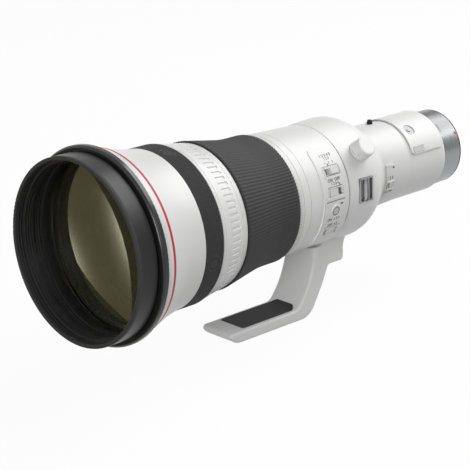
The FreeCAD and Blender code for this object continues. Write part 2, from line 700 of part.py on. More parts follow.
def make_grip_ring():
    ring = turned([
        (Y_GRIP, GRIP_BORE), (Y_GRIP, GRIP_RADIUS - BEVEL), (Y_GRIP + BEVEL, GRIP_RADIUS),
        (Y_PRESET - BEVEL, GRIP_RADIUS), (Y_PRESET, GRIP_RADIUS - BEVEL), (Y_PRESET, GRIP_BORE)])
    for number in range(STOP_BUTTONS):
        angle = STOP_BUTTON_ANGLE + number * 360.0 / STOP_BUTTONS
        hole = standing_rod(STOP_BUTTON_RADIUS + SLIDE_GAP, GRIP_BORE - PAST, GRIP_RADIUS + PAST,
                            Y_STOP_BUTTON)
        pocket = standing_rod(STOP_BUTTON_FLANGE + SLIDE_GAP, GRIP_BORE - PAST, STOP_FLANGE_HIGH + SEAT_GAP,
                              Y_STOP_BUTTON)
        ring = ring.cut(at_angle(hole.fuse(pocket), angle))
        cap = standing_rod(STOP_BUTTON_RADIUS, STOP_FLANGE_LOW, STOP_BUTTON_TOP, Y_STOP_BUTTON)
        flange = standing_rod(STOP_BUTTON_FLANGE, STOP_FLANGE_LOW, STOP_FLANGE_HIGH, Y_STOP_BUTTON)
        save("stop_button_%d" % (number + 1), at_angle(cap.fuse(flange), angle))
    save("grip_ring", ring)


def make_preset_ring():
    front = Y_PRESET + RING_GAP
    rear = Y_FOCUS - RING_GAP
    save("preset_ring", turned([
        (front, PRESET_BORE), (front, PRESET_FRONT_RADIUS - BEVEL), (front + BEVEL, PRESET_FRONT_RADIUS),
        (rear - BEVEL, PRESET_REAR_RADIUS), (rear, PRESET_REAR_RADIUS - BEVEL), (rear, PRESET_BORE)]))


def focus_outside(inset):
    """Waisted line of the focus ring, set in by a depth."""
    front = Y_FOCUS + RING_GAP
    rear = Y_MAIN - RING_GAP
    length = rear - front
    drop = FOCUS_FRONT_RADIUS - FOCUS_REAR_RADIUS
    curve = [(front + along * length, FOCUS_REAR_RADIUS + share * drop - inset, "curve")
             for along, share in FOCUS_CURVE]
    return [(front, FOCUS_FRONT_RADIUS - inset)] + curve + [(rear, FOCUS_REAR_RADIUS - inset)]


def make_focus_ring():
    front = Y_FOCUS + RING_GAP
    rear = Y_MAIN - RING_GAP
    depth = FOCUS_RUBBER_WALL
    front_land_end = Y_FOCUS + FOCUS_LAND_LENGTH - LAND_MARGIN
    rear_land_end = Y_MAIN - FOCUS_LAND_LENGTH + LAND_MARGIN
    core = turned(focus_outside(depth) + [
        (rear, FOCUS_REAR_BORE), (rear_land_end, FOCUS_REAR_BORE),
        (rear_land_end, FOCUS_REAR_BORE + WAIST_GAP), (front_land_end, FOCUS_FRONT_BORE + WAIST_GAP),
        (front_land_end, FOCUS_FRONT_BORE), (front, FOCUS_FRONT_BORE)])
    save("focus_ring_core", core)
    outer = focus_outside(0.0)
    inner = focus_outside(depth - SEAT_GAP)
    inner.reverse()
    save("focus_ring_rubber", turned(outer + inner))


# Main barrel with the switch panel

Y_PANEL_REAR = Y_COLLAR - PANEL_SET_BACK
Y_PANEL_FRONT = Y_PANEL_REAR - PANEL_LENGTH
Y_SWITCH = (Y_PANEL_FRONT + Y_PANEL_REAR) / 2
PANEL_FLOOR = PANEL_RADIUS - PANEL_WALL
MAIN_FLOOR_BORE = MAIN_BORE + SEAT_GAP


def switch_slot(length, width, low, high, angle):
    return at_angle(standing_block(length, width, low, high, Y_SWITCH), angle)


def make_main_barrel():
    front = Y_MAIN
    rear = Y_COLLAR
    barrel = turned([
        (front, MAIN_FLOOR_BORE), (front, MAIN_FRONT_RADIUS - BEVEL), (front + BEVEL, MAIN_FRONT_RADIUS),
        (front + SEAM_STEPS[-1], MAIN_CREST_RADIUS), (rear - BEVEL, MAIN_REAR_RADIUS),
        (rear, MAIN_REAR_RADIUS - BEVEL), (rear, MAIN_FLOOR_BORE)])
    for step in SEAM_STEPS:
        groove = tube(front + step, front + step + SEAM_WIDTH, MAIN_CREST_RADIUS + PAST,
                      MAIN_FRONT_RADIUS - SEAM_DEPTH)
        barrel = barrel.cut(groove)
    panel = rounded_sector(Y_PANEL_FRONT, Y_PANEL_REAR, PANEL_RADIUS, PANEL_FLOOR, PANEL_START, PANEL_END,
                           PANEL_CORNER)
    pocket = rounded_sector(Y_PANEL_FRONT - SEAT_GAP, Y_PANEL_REAR + SEAT_GAP, PANEL_RADIUS + PAST,
                            PANEL_FLOOR - SEAT_GAP, PANEL_START - SEAT_ANGLE, PANEL_END + SEAT_ANGLE,
                            PANEL_CORNER)
    barrel = barrel.cut(pocket)
    low = MAIN_BORE - PAST
    high = PANEL_RADIUS + PAST
    foot_low = MAIN_BORE + SLIDE_FLOOR_GAP
    foot_high = foot_low + SWITCH_FOOT_HEIGHT
    for number, angle in enumerate(SWITCH_ANGLES):
        window_length = SWITCH_LENGTH + SWITCH_TRAVEL + 2 * SLIDE_GAP
        well_length = SWITCH_FOOT_LENGTH + SWITCH_TRAVEL + 2 * SLIDE_GAP
        window = switch_slot(window_length, SWITCH_WIDTH + 2 * SLIDE_GAP, low, high, angle)
        well = switch_slot(well_length, SWITCH_FOOT_WIDTH + 2 * SLIDE_GAP, low, PANEL_FLOOR, angle)
        panel = panel.cut(window)
        barrel = barrel.cut(well)
        knob = switch_slot(SWITCH_LENGTH, SWITCH_WIDTH, foot_low, PANEL_RADIUS + SWITCH_PROUD, angle)
        foot = switch_slot(SWITCH_FOOT_LENGTH, SWITCH_FOOT_WIDTH, foot_low, foot_high, angle)
        switch = knob.fuse(foot)
        switch.translate(vec(0, SWITCH_REST[number] * SWITCH_TRAVEL / 2, 0))
        save("switch_%d" % (number + 1), switch)
    hole = standing_rod(SET_BUTTON_RADIUS + SLIDE_GAP, low, high, Y_SWITCH)
    well = standing_rod(SET_BUTTON_FLANGE + SLIDE_GAP, low, PANEL_FLOOR, Y_SWITCH)
    panel = panel.cut(at_angle(hole, SET_BUTTON_ANGLE))
    barrel = barrel.cut(at_angle(well, SET_BUTTON_ANGLE))
    flange_low = MAIN_BORE + SET_BUTTON_TRAVEL + SLIDE_GAP
    cap = standing_rod(SET_BUTTON_RADIUS, flange_low, PANEL_RADIUS + SET_BUTTON_PROUD, Y_SWITCH)
    flange = standing_rod(SET_BUTTON_FLANGE, flange_low, flange_low + BUTTON_FLANGE, Y_SWITCH)
    save("set_button", at_angle(cap.fuse(flange), SET_BUTTON_ANGLE))
    save("switch_panel", panel)
    save("main_barrel", barrel)


# Collar with boss, strap bars, lock knob and foot

Y_COLLAR_FRONT = Y_COLLAR + RING_GAP
Y_COLLAR_REAR = Y_RETAINER - RING_GAP
Y_HUMP = Y_RETAINER - HUMP_FROM_REAR
Y_LUG = Y_RETAINER - LUG_FROM_REAR
Y_KNOB = Y_RETAINER - KNOB_FROM_REAR
KNOB_LOW = COLLAR_HUMP_RADIUS + KNOB_STAND
Y_BOSS_FRONT = Y_COLLAR - BOSS_FRONT_OVERHANG
Y_BOSS_REAR = Y_BOSS_FRONT + BOSS_LENGTH


def collar_outside():
    drop = COLLAR_HUMP_RADIUS - COLLAR_REAR_RADIUS
    slope = Y_COLLAR_REAR - Y_HUMP
    curve = [(Y_HUMP + along * slope, COLLAR_HUMP_RADIUS - share * drop, "curve")
             for along, share in SHOULDER_CURVE]
    crest = ((Y_COLLAR_FRONT + Y_HUMP) / 2, (COLLAR_FRONT_RADIUS + 3 * COLLAR_HUMP_RADIUS) / 4, "arc")
    return [(Y_COLLAR_FRONT, COLLAR_FRONT_RADIUS), crest, (Y_HUMP, COLLAR_HUMP_RADIUS)] + curve + [
        (Y_COLLAR_REAR, COLLAR_REAR_RADIUS)]


def boss_section(grow, height):
    """Outline of the boss at one height: a rectangle with round corners, wider towards the collar."""
    centre = vec(0, (Y_BOSS_FRONT + Y_BOSS_REAR) / 2, height)
    plate = block(2 * (BOSS_HALF_WIDTH + grow), BOSS_LENGTH + 2 * grow, BEVEL, centre)
    plate = rounded(plate, BOSS_CORNER + grow, UP)
    top = max(plate.Faces, key=lambda face: face.CenterOfMass.z)
    wire = top.OuterWire.copy()
    wire.translate(vec(0, 0, -BEVEL / 2))
    return wire


def boss_shape():
    """Boss under the collar that the foot is bolted to, flared where it runs into the collar."""
    root = -COLLAR_FRONT_BORE + BOSS_ROOT
    middle = (root - BOSS_BOTTOM) / 2
    sections = [boss_section(0.0, -BOSS_BOTTOM), boss_section(BOSS_FLARE / 4, middle),
                boss_section(BOSS_FLARE, root)]
    return Part.makeLoft(sections, True)


def make_collar():
    bore_cone_start = COLLAR_LAND_END + LAND_MARGIN
    bore_cone_end = REAR_LAND_START + LAND_MARGIN
    collar = turned(collar_outside() + [
        (Y_COLLAR_REAR, COLLAR_REAR_BORE), (bore_cone_end, COLLAR_REAR_BORE),
        (bore_cone_start, COLLAR_FRONT_BORE), (Y_COLLAR_FRONT, COLLAR_FRONT_BORE)])
    boss = boss_shape().cut(disc(Y_BOSS_FRONT - 2 * BOSS_FLARE, Y_COLLAR_FRONT, BOSS_CLEAR_RADIUS))
    boss = boss.cut(disc(Y_COLLAR_FRONT - PAST, Y_COLLAR_REAR + PAST, COLLAR_FRONT_BORE + PAST))
    collar = collar.fuse(boss)
    seat = standing_rod(KNOB_SEAT_RADIUS, COLLAR_FRONT_BORE + PAST, KNOB_LOW - SLIDE_GAP, Y_KNOB)
    stud_hole = standing_rod(STUD_RADIUS + RUNNING_GAP, COLLAR_FRONT_BORE - PAST, KNOB_LOW + PAST, Y_KNOB)
    collar = collar.fuse(at_angle(seat, KNOB_ANGLE)).cut(at_angle(stud_hole, KNOB_ANGLE))
    recess = standing_block(LUG_LENGTH + 2 * SEAT_GAP, LUG_HEIGHT + 2 * SEAT_GAP, LUG_FLOOR,
                            COLLAR_HUMP_RADIUS + PAST, Y_LUG)
    for angle in (LUG_ANGLE, -LUG_ANGLE):
        collar = collar.cut(at_angle(recess, angle))
    for x in (-FOOT_SCREW_SPACING / 2, FOOT_SCREW_SPACING / 2):
        collar = collar.cut(Part.makeCylinder(FOOT_SCREW_RADIUS + SEAT_GAP, FOOT_SCREW_BITE + PAST / 2,
                                              vec(x, Y_FOOT_SCREW, -BOSS_BOTTOM), UP))
    save("collar", collar)


def make_strap_lugs():
    """Two small frames, each with a bar for a strap, set in the sides of the collar."""
    frame = standing_block(LUG_LENGTH, LUG_HEIGHT, LUG_FLOOR, LUG_FACE, Y_LUG)
    opening = standing_block(LUG_LENGTH - 2 * LUG_WALL, LUG_HEIGHT - 2 * LUG_WALL, LUG_FLOOR - PAST,
                             LUG_FACE + PAST, Y_LUG)
    bar = standing_block(LUG_BAR_WIDTH, LUG_HEIGHT - LUG_WALL, LUG_FACE - LUG_BAR_THICKNESS, LUG_FACE,
                         Y_LUG)
    bar = rounded(bar, LUG_BAR_ROUND, vec(1, 0, 0))
    lug = frame.cut(opening).fuse(bar)
    skin = turned(collar_outside() + [(Y_COLLAR_REAR, 0.0), (Y_COLLAR_FRONT, 0.0)])
    lug = lug.common(skin)
    save("strap_lugs", at_angle(lug, LUG_ANGLE), at_angle(lug, -LUG_ANGLE))


def make_lock_knob():
    top = KNOB_LOW + KNOB_HEIGHT
    body = Part.makeCone(KNOB_RADIUS, KNOB_FACE_RADIUS, KNOB_HEIGHT, vec(0, Y_KNOB, KNOB_LOW), UP)
    rim = [edge for edge in body.Edges if edge.Closed and abs(edge.CenterOfMass.z - top) < 0.01]
    body = body.makeFillet(KNOB_EDGE, rim)
    hole = standing_rod(STUD_RADIUS + SEAT_GAP, KNOB_LOW - PAST, KNOB_LOW + STUD_GRIP, Y_KNOB)
    stud_low = COLLAR_FRONT_BORE + STUD_END_GAP
    stud = standing_rod(STUD_RADIUS, stud_low, KNOB_LOW + STUD_GRIP, Y_KNOB)
    save("lock_knob", at_angle(body.cut(hole), KNOB_ANGLE))
    save("lock_stud", at_angle(stud, KNOB_ANGLE))


HEAD_BOTTOM = BOSS_BOTTOM + FOOT_HEAD_HEIGHT
Y_SOLE_TIP = Y_BOSS_REAR - FOOT_REACH
Y_SOLE_HEEL = Y_SOLE_TIP + SOLE_LENGTH
Y_FOOT_SCREW = Y_BOSS_REAR - FOOT_SCREW_FROM_REAR
Y_NECK_BEND = Y_BOSS_FRONT + NECK_FRONT_SHARE * (Y_SOLE_HEEL - Y_BOSS_FRONT)
Z_NECK_BEND = -HEAD_BOTTOM - NECK_FRONT_DROP


def rounded_outline(corners):
    """Closed outline from (y, z, radius) corners, each rounded by an arc that touches both its sides."""
    points = []
    for number, (y, z, radius) in enumerate(corners):
        if radius == 0.0:
            points.append((y, z))
            continue
        before = corners[number - 1]
        after = corners[(number + 1) % len(corners)]
        corner = vec(0, y, z)
        back = (vec(0, before[0], before[1]) - corner).normalize()
        ahead = (vec(0, after[0], after[1]) - corner).normalize()
        half_angle = back.getAngle(ahead) / 2
        start = corner + back * (radius / math.tan(half_angle))
        end = corner + ahead * (radius / math.tan(half_angle))
        middle = corner + (back + ahead).normalize() * (radius / math.sin(half_angle) - radius)
        points.extend([(start.y, start.z), (middle.y, middle.z, "arc"), (end.y, end.z)])
    return points


def foot_outline():
    """Side of the foot: head under the boss, neck leaning forwards and down, long sole."""
    y_neck = Y_BOSS_FRONT + FOOT_NECK_LENGTH
    return rounded_outline([
        (Y_BOSS_FRONT, -BOSS_BOTTOM, 0.0), (Y_BOSS_REAR, -BOSS_BOTTOM, 0.0),
        (Y_BOSS_REAR, -HEAD_BOTTOM, HEAD_ROUND), (y_neck, -HEAD_BOTTOM, NECK_ROOT_ROUND),
        (y_neck - NECK_REAR_BEND[0], -HEAD_BOTTOM - NECK_REAR_BEND[1], NECK_BEND_ROUND),
        (Y_SOLE_HEEL + HEEL_LENGTH, -SOLE_BOTTOM, HEEL_ROUND),
        (Y_SOLE_TIP + NOSE_LENGTH, -SOLE_BOTTOM, NOSE_BOTTOM_ROUND),
        (Y_SOLE_TIP, -SOLE_TOP, NOSE_TOP_ROUND), (Y_SOLE_HEEL, -SOLE_TOP, NECK_FILLET),
        (Y_NECK_BEND, Z_NECK_BEND, NECK_BEND_ROUND),
        (Y_BOSS_FRONT, -HEAD_BOTTOM + HEAD_STEP, SHOULDER_ROUND)])


def heel_point(radius, angle, *kind):
    """Point on a round about the same centre as the hollow between the top of the sole and the neck."""
    neck_slope = math.atan2(Z_NECK_BEND + SOLE_TOP, Y_NECK_BEND - Y_SOLE_HEEL)
    y_centre = Y_SOLE_HEEL - NECK_FILLET * math.tan(neck_slope / 2)
    turn = math.radians(angle)
    return (y_centre + radius * math.sin(turn), -SOLE_TOP + NECK_FILLET - radius * math.cos(turn)) + kind


def pad_shape(grow, height):
    """Pad on the sole, of a height above its floor, that climbs a little into the neck's hollow."""
    front = Y_SOLE_TIP + PAD_FRONT_MARGIN - grow
    climb = PAD_CLIMB + math.degrees(grow / NECK_FILLET)
    low = NECK_FILLET + PAD_SINK
    high = low - height
    side = outline_face([
        (front, -SOLE_TOP - PAD_SINK), heel_point(low, 0.0), heel_point(low, climb / 2, "arc"),
        heel_point(low, climb), heel_point(high, climb), heel_point(high, climb / 2, "arc"),
        heel_point(high, 0.0), (front, -SOLE_TOP - PAD_SINK + height)])
    half_width = PAD_HALF_WIDTH + grow
    side.translate(vec(-half_width, 0, 0))
    pad = side.extrude(vec(2 * half_width, 0, 0))
    rear = heel_point(low, climb)[0]
    for start, corner in ((front, PAD_CORNER), (front - 2 * PAD_HEEL_CORNER, PAD_HEEL_CORNER)):
        plan = block(2 * half_width, rear - start, 2 * NECK_FILLET, vec(0, (start + rear) / 2, -SOLE_TOP))
        pad = pad.common(rounded(plan, corner, UP))
    return pad


def make_foot():
    side = outline_face(foot_outline())
    side.translate(vec(-FOOT_HALF_WIDTH, 0, 0))
    foot = side.extrude(vec(2 * FOOT_HALF_WIDTH, 0, 0))
    flanks = []
    for edge in foot.Edges:
        middle = edge.CenterOfMass
        on_flank = abs(abs(middle.x) - FOOT_HALF_WIDTH) < 0.01
        if on_flank and middle.z < -BOSS_BOTTOM - BEVEL:
            flanks.append(edge)
    foot = foot.makeFillet(FOOT_ROUNDING, flanks)
    channel_length = SOLE_LENGTH + 2 * CHANNEL_RUN_OUT
    channel = block(2 * CHANNEL_HALF_WIDTH, channel_length, 2 * CHANNEL_DEPTH,
                    vec(0, Y_SOLE_TIP - CHANNEL_RUN_OUT + channel_length / 2, -SOLE_BOTTOM))
    foot = foot.cut(channel).cut(pad_shape(SEAT_GAP, PAD_SINK + PAST))
    threads = ((Y_SOLE_TIP + LARGE_THREAD_FROM_TIP, LARGE_THREAD_RADIUS),
               (Y_SOLE_TIP + SMALL_THREAD_FROM_TIP, SMALL_THREAD_RADIUS))
    floor = -SOLE_BOTTOM + CHANNEL_DEPTH
    for y, radius in threads:
        foot = foot.cut(Part.makeCylinder(radius, THREAD_DEPTH, vec(0, y, floor), UP))
    screws = []
    well_depth = FOOT_SCREW_HEAD_HEIGHT + FOOT_SCREW_SINK
    head_top = -HEAD_BOTTOM + well_depth
    head_bottom = -HEAD_BOTTOM + FOOT_SCREW_SINK
    for x in (-FOOT_SCREW_SPACING / 2, FOOT_SCREW_SPACING / 2):
        base = vec(x, Y_FOOT_SCREW, -HEAD_BOTTOM - PAST)
        shank_hole = Part.makeCylinder(FOOT_SCREW_RADIUS + SEAT_GAP, FOOT_HEAD_HEIGHT + 2 * PAST, base, UP)
        head_hole = Part.makeCylinder(FOOT_SCREW_HEAD_RADIUS + SEAT_GAP, well_depth + PAST, base, UP)
        foot = foot.cut(shank_hole.fuse(head_hole))
        shank_length = FOOT_HEAD_HEIGHT - well_depth + FOOT_SCREW_BITE
        shank = Part.makeCylinder(FOOT_SCREW_RADIUS, shank_length, vec(x, Y_FOOT_SCREW, head_top), UP)
        low = vec(x, Y_FOOT_SCREW, head_bottom)
        head = Part.makeCylinder(FOOT_SCREW_HEAD_RADIUS, FOOT_SCREW_HEAD_HEIGHT, low, UP)
        socket = Part.makeCylinder(SOCKET_RADIUS, SOCKET_DEPTH, low, UP)
        screws.append(head.fuse(shank).cut(socket))
    neck_side = block(4 * FOOT_HALF_WIDTH, 2 * FOOT_REACH, 2 * SOLE_BOTTOM,
                      vec(0, Y_SOLE_HEEL, -SOLE_TOP + SOLE_SPLIT + SOLE_BOTTOM))
    # One casting, kept as two touching solids so that its collision pieces leave the hand gaps open.
    save("foot", foot.cut(neck_side), foot.common(neck_side))
    save("foot_pad", pad_shape(0.0, PAD_THICKNESS))
    save("foot_screws", *screws)


def make_collar_retainer():
    bore = RETAINER_BORE + SEAT_GAP
    save("collar_retainer", turned([
        (Y_RETAINER, bore), (Y_RETAINER, COLLAR_REAR_RADIUS - EDGE_ROUND),
        (Y_REAR, REAR_FRONT_RADIUS), (Y_REAR, bore)]))


# Rear barrel, drop-in filter and camera mount

COVER_BORE = REAR_BARREL_RADIUS + COVER_GAP
COVER_RADIUS = COVER_BORE + COVER_WALL
Y_FRAME_FRONT = -FILTER_Y - FRAME_LENGTH / 2
Y_FRAME_REAR = -FILTER_Y + FRAME_LENGTH / 2


def frame_space(half_width, y_front, y_rear, top):
    """Round below and straight sided above, as the filter frame is."""
    low = disc(y_front, y_rear, half_width)
    high = block(2 * half_width, y_rear - y_front, top, vec(0, (y_front + y_rear) / 2, top / 2))
    return low.fuse(high)


def release_body(grow, low, high):
    return standing_block(RELEASE_LENGTH + 2 * grow, RELEASE_WIDTH + 2 * grow, low, high, -RELEASE_Y)


REAR_BORE = REAR_BARREL_RADIUS - REAR_WALL
REAR_THROAT = REAR_BORE - REAR_WALL
Y_LAND_FRONT = Y_FRAME_FRONT - BULKHEAD_MARGIN
Y_LAND_REAR = Y_FRAME_REAR + BULKHEAD_MARGIN
Y_PANEL_2_FRONT = Y_REAR + REAR_PANEL_SET_BACK
Y_PANEL_2_REAR = Y_PANEL_2_FRONT + REAR_PANEL_LENGTH
Y_SWITCH_2 = (Y_PANEL_2_FRONT + Y_PANEL_2_REAR) / 2
REAR_PANEL_FACE = REAR_FRONT_RADIUS + REAR_PANEL_PROUD
REAR_PANEL_FLOOR = REAR_FRONT_RADIUS - REAR_PANEL_WALL


def rear_barrel_tube():
    """Tube with a thick land round the filter and a spigot at each end."""
    spigot = INNER_REAR_BORE - SEAT_GAP
    return turned([
        (Y_REAR - REAR_SPIGOT_LENGTH, spigot), (Y_REAR, spigot), (Y_REAR, REAR_FRONT_RADIUS),
        (-COVER_FRONT - REAR_TAPER_MARGIN, REAR_BARREL_RADIUS), (-COVER_REAR - BEVEL, REAR_BARREL_RADIUS),
        (Y_RING, MOUNT_RING_FRONT_RADIUS), (Y_RING, REAR_MOUNT_BORE), (Y_LAND_REAR, REAR_MOUNT_BORE),
        (Y_LAND_REAR, BULKHEAD_BORE), (Y_LAND_FRONT, BULKHEAD_BORE), (Y_LAND_FRONT, REAR_THROAT),
        (Y_REAR - REAR_SPIGOT_LENGTH, REAR_THROAT)])


def make_rear_barrel():
    gap = SLIDE_GAP
    frame_way = frame_space(FRAME_HALF_WIDTH + gap, Y_FRAME_FRONT - gap, Y_FRAME_REAR + gap, FRAME_TOP)
    barrel = rear_barrel_tube().cut(frame_way)
    button_low = COVER_RADIUS - RELEASE_DEPTH - RELEASE_TRAVEL - gap
    for side in (-1, 1):
        space = at_angle(release_body(2 * gap, button_low, COVER_RADIUS + PAST), side * RELEASE_ANGLE)
        barrel = barrel.cut(swept(space, vec(0, 0, RELEASE_DRAW)))
    pocket = rounded_sector(Y_PANEL_2_FRONT - SEAT_GAP, Y_PANEL_2_REAR + SEAT_GAP, REAR_PANEL_FACE + PAST,
                            REAR_PANEL_FLOOR - SEAT_GAP, REAR_PANEL_START - SEAT_ANGLE,
                            REAR_PANEL_END + SEAT_ANGLE, REAR_PANEL_CORNER)
    panel = rounded_sector(Y_PANEL_2_FRONT, Y_PANEL_2_REAR, REAR_PANEL_FACE, REAR_PANEL_FLOOR,
                           REAR_PANEL_START, REAR_PANEL_END, REAR_PANEL_CORNER)
    well_low = REAR_PANEL_FLOOR - REAR_WELL_DEPTH
    foot_low = well_low + gap
    foot_high = REAR_PANEL_FLOOR - SLIDE_FLOOR_GAP
    foot_length = REAR_SWITCH_LENGTH + 2 * REAR_SWITCH_MARGIN
    foot_width = REAR_SWITCH_WIDTH + 2 * REAR_SWITCH_MARGIN
    room = 2 * REAR_SWITCH_TRAVEL + 2 * gap
    window = standing_block(REAR_SWITCH_LENGTH + room, REAR_SWITCH_WIDTH + 2 * gap, well_low,
                            REAR_PANEL_FACE + PAST, Y_SWITCH_2)
    well = standing_block(foot_length + room, foot_width + 2 * gap, well_low, REAR_PANEL_FACE, Y_SWITCH_2)
    knob = standing_block(REAR_SWITCH_LENGTH, REAR_SWITCH_WIDTH, foot_low,
                          REAR_PANEL_FACE + REAR_SWITCH_PROUD, Y_SWITCH_2)
    foot = standing_block(foot_length, foot_width, foot_low, foot_high, Y_SWITCH_2)
    save("rear_barrel", barrel.cut(pocket).cut(at_angle(well, REAR_SWITCH_ANGLE)))
    save("rear_panel", panel.cut(at_angle(window, REAR_SWITCH_ANGLE)))
    save("rear_switch", at_angle(knob.fuse(foot), REAR_SWITCH_ANGLE))


Y_FILTER_SEAT = Y_FRAME_REAR - FILTER_SEAT_LENGTH
FILTER_BORE = FILTER_RADIUS - FILTER_RIM_WALL


def make_filter_holder():
    """Curved cover and the frame under it, lifted out together with the filter."""
    cover = rounded_sector(-COVER_FRONT, -COVER_REAR, COVER_RADIUS, COVER_BORE, -COVER_REACH, COVER_REACH,
                           COVER_CORNER)
    frame = frame_space(FRAME_HALF_WIDTH, Y_FRAME_FRONT, Y_FRAME_REAR, FRAME_TOP)
    frame = frame.common(disc(Y_FRAME_FRONT, Y_FRAME_REAR, COVER_BORE + COVER_WALL / 2))
    bore = disc(Y_FRAME_FRONT - PAST, Y_FILTER_SEAT, FILTER_RADIUS + SEAT_GAP)
    bore = bore.fuse(disc(Y_FILTER_SEAT - PAST, Y_FRAME_REAR + PAST, FILTER_BORE))
    holder = cover.fuse(frame).cut(bore)
    button_low = COVER_RADIUS - RELEASE_DEPTH
    for number, side in enumerate((1, -1)):
        space = release_body(SLIDE_GAP, button_low - PAST, COVER_RADIUS + PAST)
        holder = holder.cut(at_angle(space, side * RELEASE_ANGLE))
        button = release_body(0.0, button_low, COVER_RADIUS + RELEASE_PROUD)
        button = rounded(button, RELEASE_CORNER, UP)
        save("release_button_%d" % (number + 1), at_angle(button, side * RELEASE_ANGLE))
    plate_top = COVER_BORE - LOCK_SINK + LOCK_PLATE
    recess = standing_rod(LOCK_WIDTH / 2, COVER_BORE - LOCK_SINK, COVER_RADIUS + PAST, -LOCK_Y)
    plate = standing_rod(LOCK_WIDTH / 2 - SEAT_GAP, COVER_BORE - LOCK_SINK, plate_top, -LOCK_Y)
    pin = standing_rod(LOCK_PIN_RADIUS, COVER_BORE - LOCK_SINK, COVER_RADIUS - SLIDE_GAP, -LOCK_Y)
    save("filter_holder", holder.cut(at_angle(recess, LOCK_ANGLE)))
    save("lock_socket", at_angle(plate.fuse(pin), LOCK_ANGLE))
    rim_front = Y_FILTER_SEAT - FILTER_RIM_LENGTH
    glass_seat = Y_FILTER_SEAT - FILTER_LIP_LENGTH
    lip = FILTER_BORE - FILTER_LIP
    save("filter_rim", turned([
        (rim_front, FILTER_BORE), (rim_front, FILTER_RADIUS), (Y_FILTER_SEAT, FILTER_RADIUS),
        (Y_FILTER_SEAT, lip), (glass_seat, lip), (glass_seat, FILTER_BORE)]))
    save("filter_glass", disc(glass_seat - FILTER_GLASS_LENGTH, glass_seat, FILTER_BORE - SEAT_GAP))


SEAL_BORE = PLATE_RADIUS + SEAL_MARGIN
Y_RING_SHELF = -PLATE_THICKNESS - RING_SHELF_LENGTH
RING_BORE = MOUNT_RING_FRONT_RADIUS - MOUNT_WALL
RING_SHELF_BORE = THROAT_RADIUS + RING_SHELF_MARGIN


def mount_ring_shape():
    groove_end = Y_RING + RING_GROOVE_START + BEVEL
    plate_seat = PLATE_RADIUS + SEAT_GAP
    return turned([
        (Y_RING, RING_BORE), (Y_RING, MOUNT_RING_FRONT_RADIUS),
        (Y_RING + RING_GROOVE_START, MOUNT_RING_FRONT_RADIUS),
        (groove_end, MOUNT_RING_FRONT_RADIUS - BEVEL), (-SEAL_SEAT - BEVEL, MOUNT_RING_REAR_RADIUS),
        (-SEAL_SEAT, MOUNT_RING_REAR_RADIUS - BEVEL), (-SEAL_SEAT, plate_seat),
        (-PLATE_THICKNESS, plate_seat), (-PLATE_THICKNESS, RING_SHELF_BORE),
        (Y_RING_SHELF, RING_SHELF_BORE), (Y_RING_SHELF, RING_BORE)])


def bayonet_shape():
    """Bright plate with the spigot that enters the camera, and its lugs."""
    plate = turned([
        (-PLATE_THICKNESS, THROAT_RADIUS), (-PLATE_THICKNESS, PLATE_RADIUS), (0.0, PLATE_RADIUS),
        (0.0, SPIGOT_RADIUS), (SPIGOT_LENGTH, SPIGOT_RADIUS), (SPIGOT_LENGTH, THROAT_RADIUS)])
    for number in range(BAYONET_LUGS):
        first = BAYONET_FIRST_LUG + number * 360.0 / BAYONET_LUGS
        lug = sector(SPIGOT_LENGTH - LUG_TIP_LENGTH, SPIGOT_LENGTH, LUG_TIP_RADIUS, SPIGOT_RADIUS - BEVEL,
                     first, first + BAYONET_LUG_ANGLE)
        plate = plate.fuse(lug)
    return plate


def mount_screw(grow):
    """Small countersunk screw at the top of the mount, or with some growth the hole that takes it."""
    head_front = -MOUNT_SCREW_HEAD_HEIGHT - MOUNT_SCREW_SINK
    shank = Part.makeCylinder(MOUNT_SCREW_RADIUS + grow, MOUNT_SCREW_LENGTH + grow,
                              vec(0, head_front - MOUNT_SCREW_LENGTH - grow, MOUNT_SCREW_CIRCLE), AXIS)
    head_height = MOUNT_SCREW_HEAD_HEIGHT
    if grow:
        head_height += PAST
    head = Part.makeCylinder(MOUNT_SCREW_HEAD_RADIUS + grow, head_height,
                             vec(0, head_front, MOUNT_SCREW_CIRCLE), AXIS)
    return shank.fuse(head)


def make_mount():
    ring = mount_ring_shape()
    plate = bayonet_shape()
    seal = turned([
        (-SEAL_SEAT, SEAL_BORE), (-SEAL_SEAT, MOUNT_RING_REAR_RADIUS), (0.0, MOUNT_RING_REAR_RADIUS),
        (SEAL_PROUD, MOUNT_RING_REAR_RADIUS - BEVEL), (SEAL_PROUD, SEAL_BORE + BEVEL), (0.0, SEAL_BORE)])
    cross_centre = vec(0, -MOUNT_SCREW_SINK, MOUNT_SCREW_CIRCLE)
    cross = block(2 * MOUNT_SCREW_RADIUS, CROSS_DEPTH, CROSS_WIDTH, cross_centre)
    cross = cross.fuse(block(CROSS_WIDTH, CROSS_DEPTH, 2 * MOUNT_SCREW_RADIUS, cross_centre))
    screws = []
    for number in range(MOUNT_SCREWS):
        angle = MOUNT_FIRST_SCREW + number * 360.0 / MOUNT_SCREWS
        hole = at_angle(mount_screw(SEAT_GAP), angle)
        plate = plate.cut(hole)
        ring = ring.cut(hole)
        screws.append(at_angle(mount_screw(0.0).cut(cross), angle))
    save("mount_ring", ring)
    save("mount_seal", seal)
    save("bayonet", plate)
    save("mount_screws", *screws)


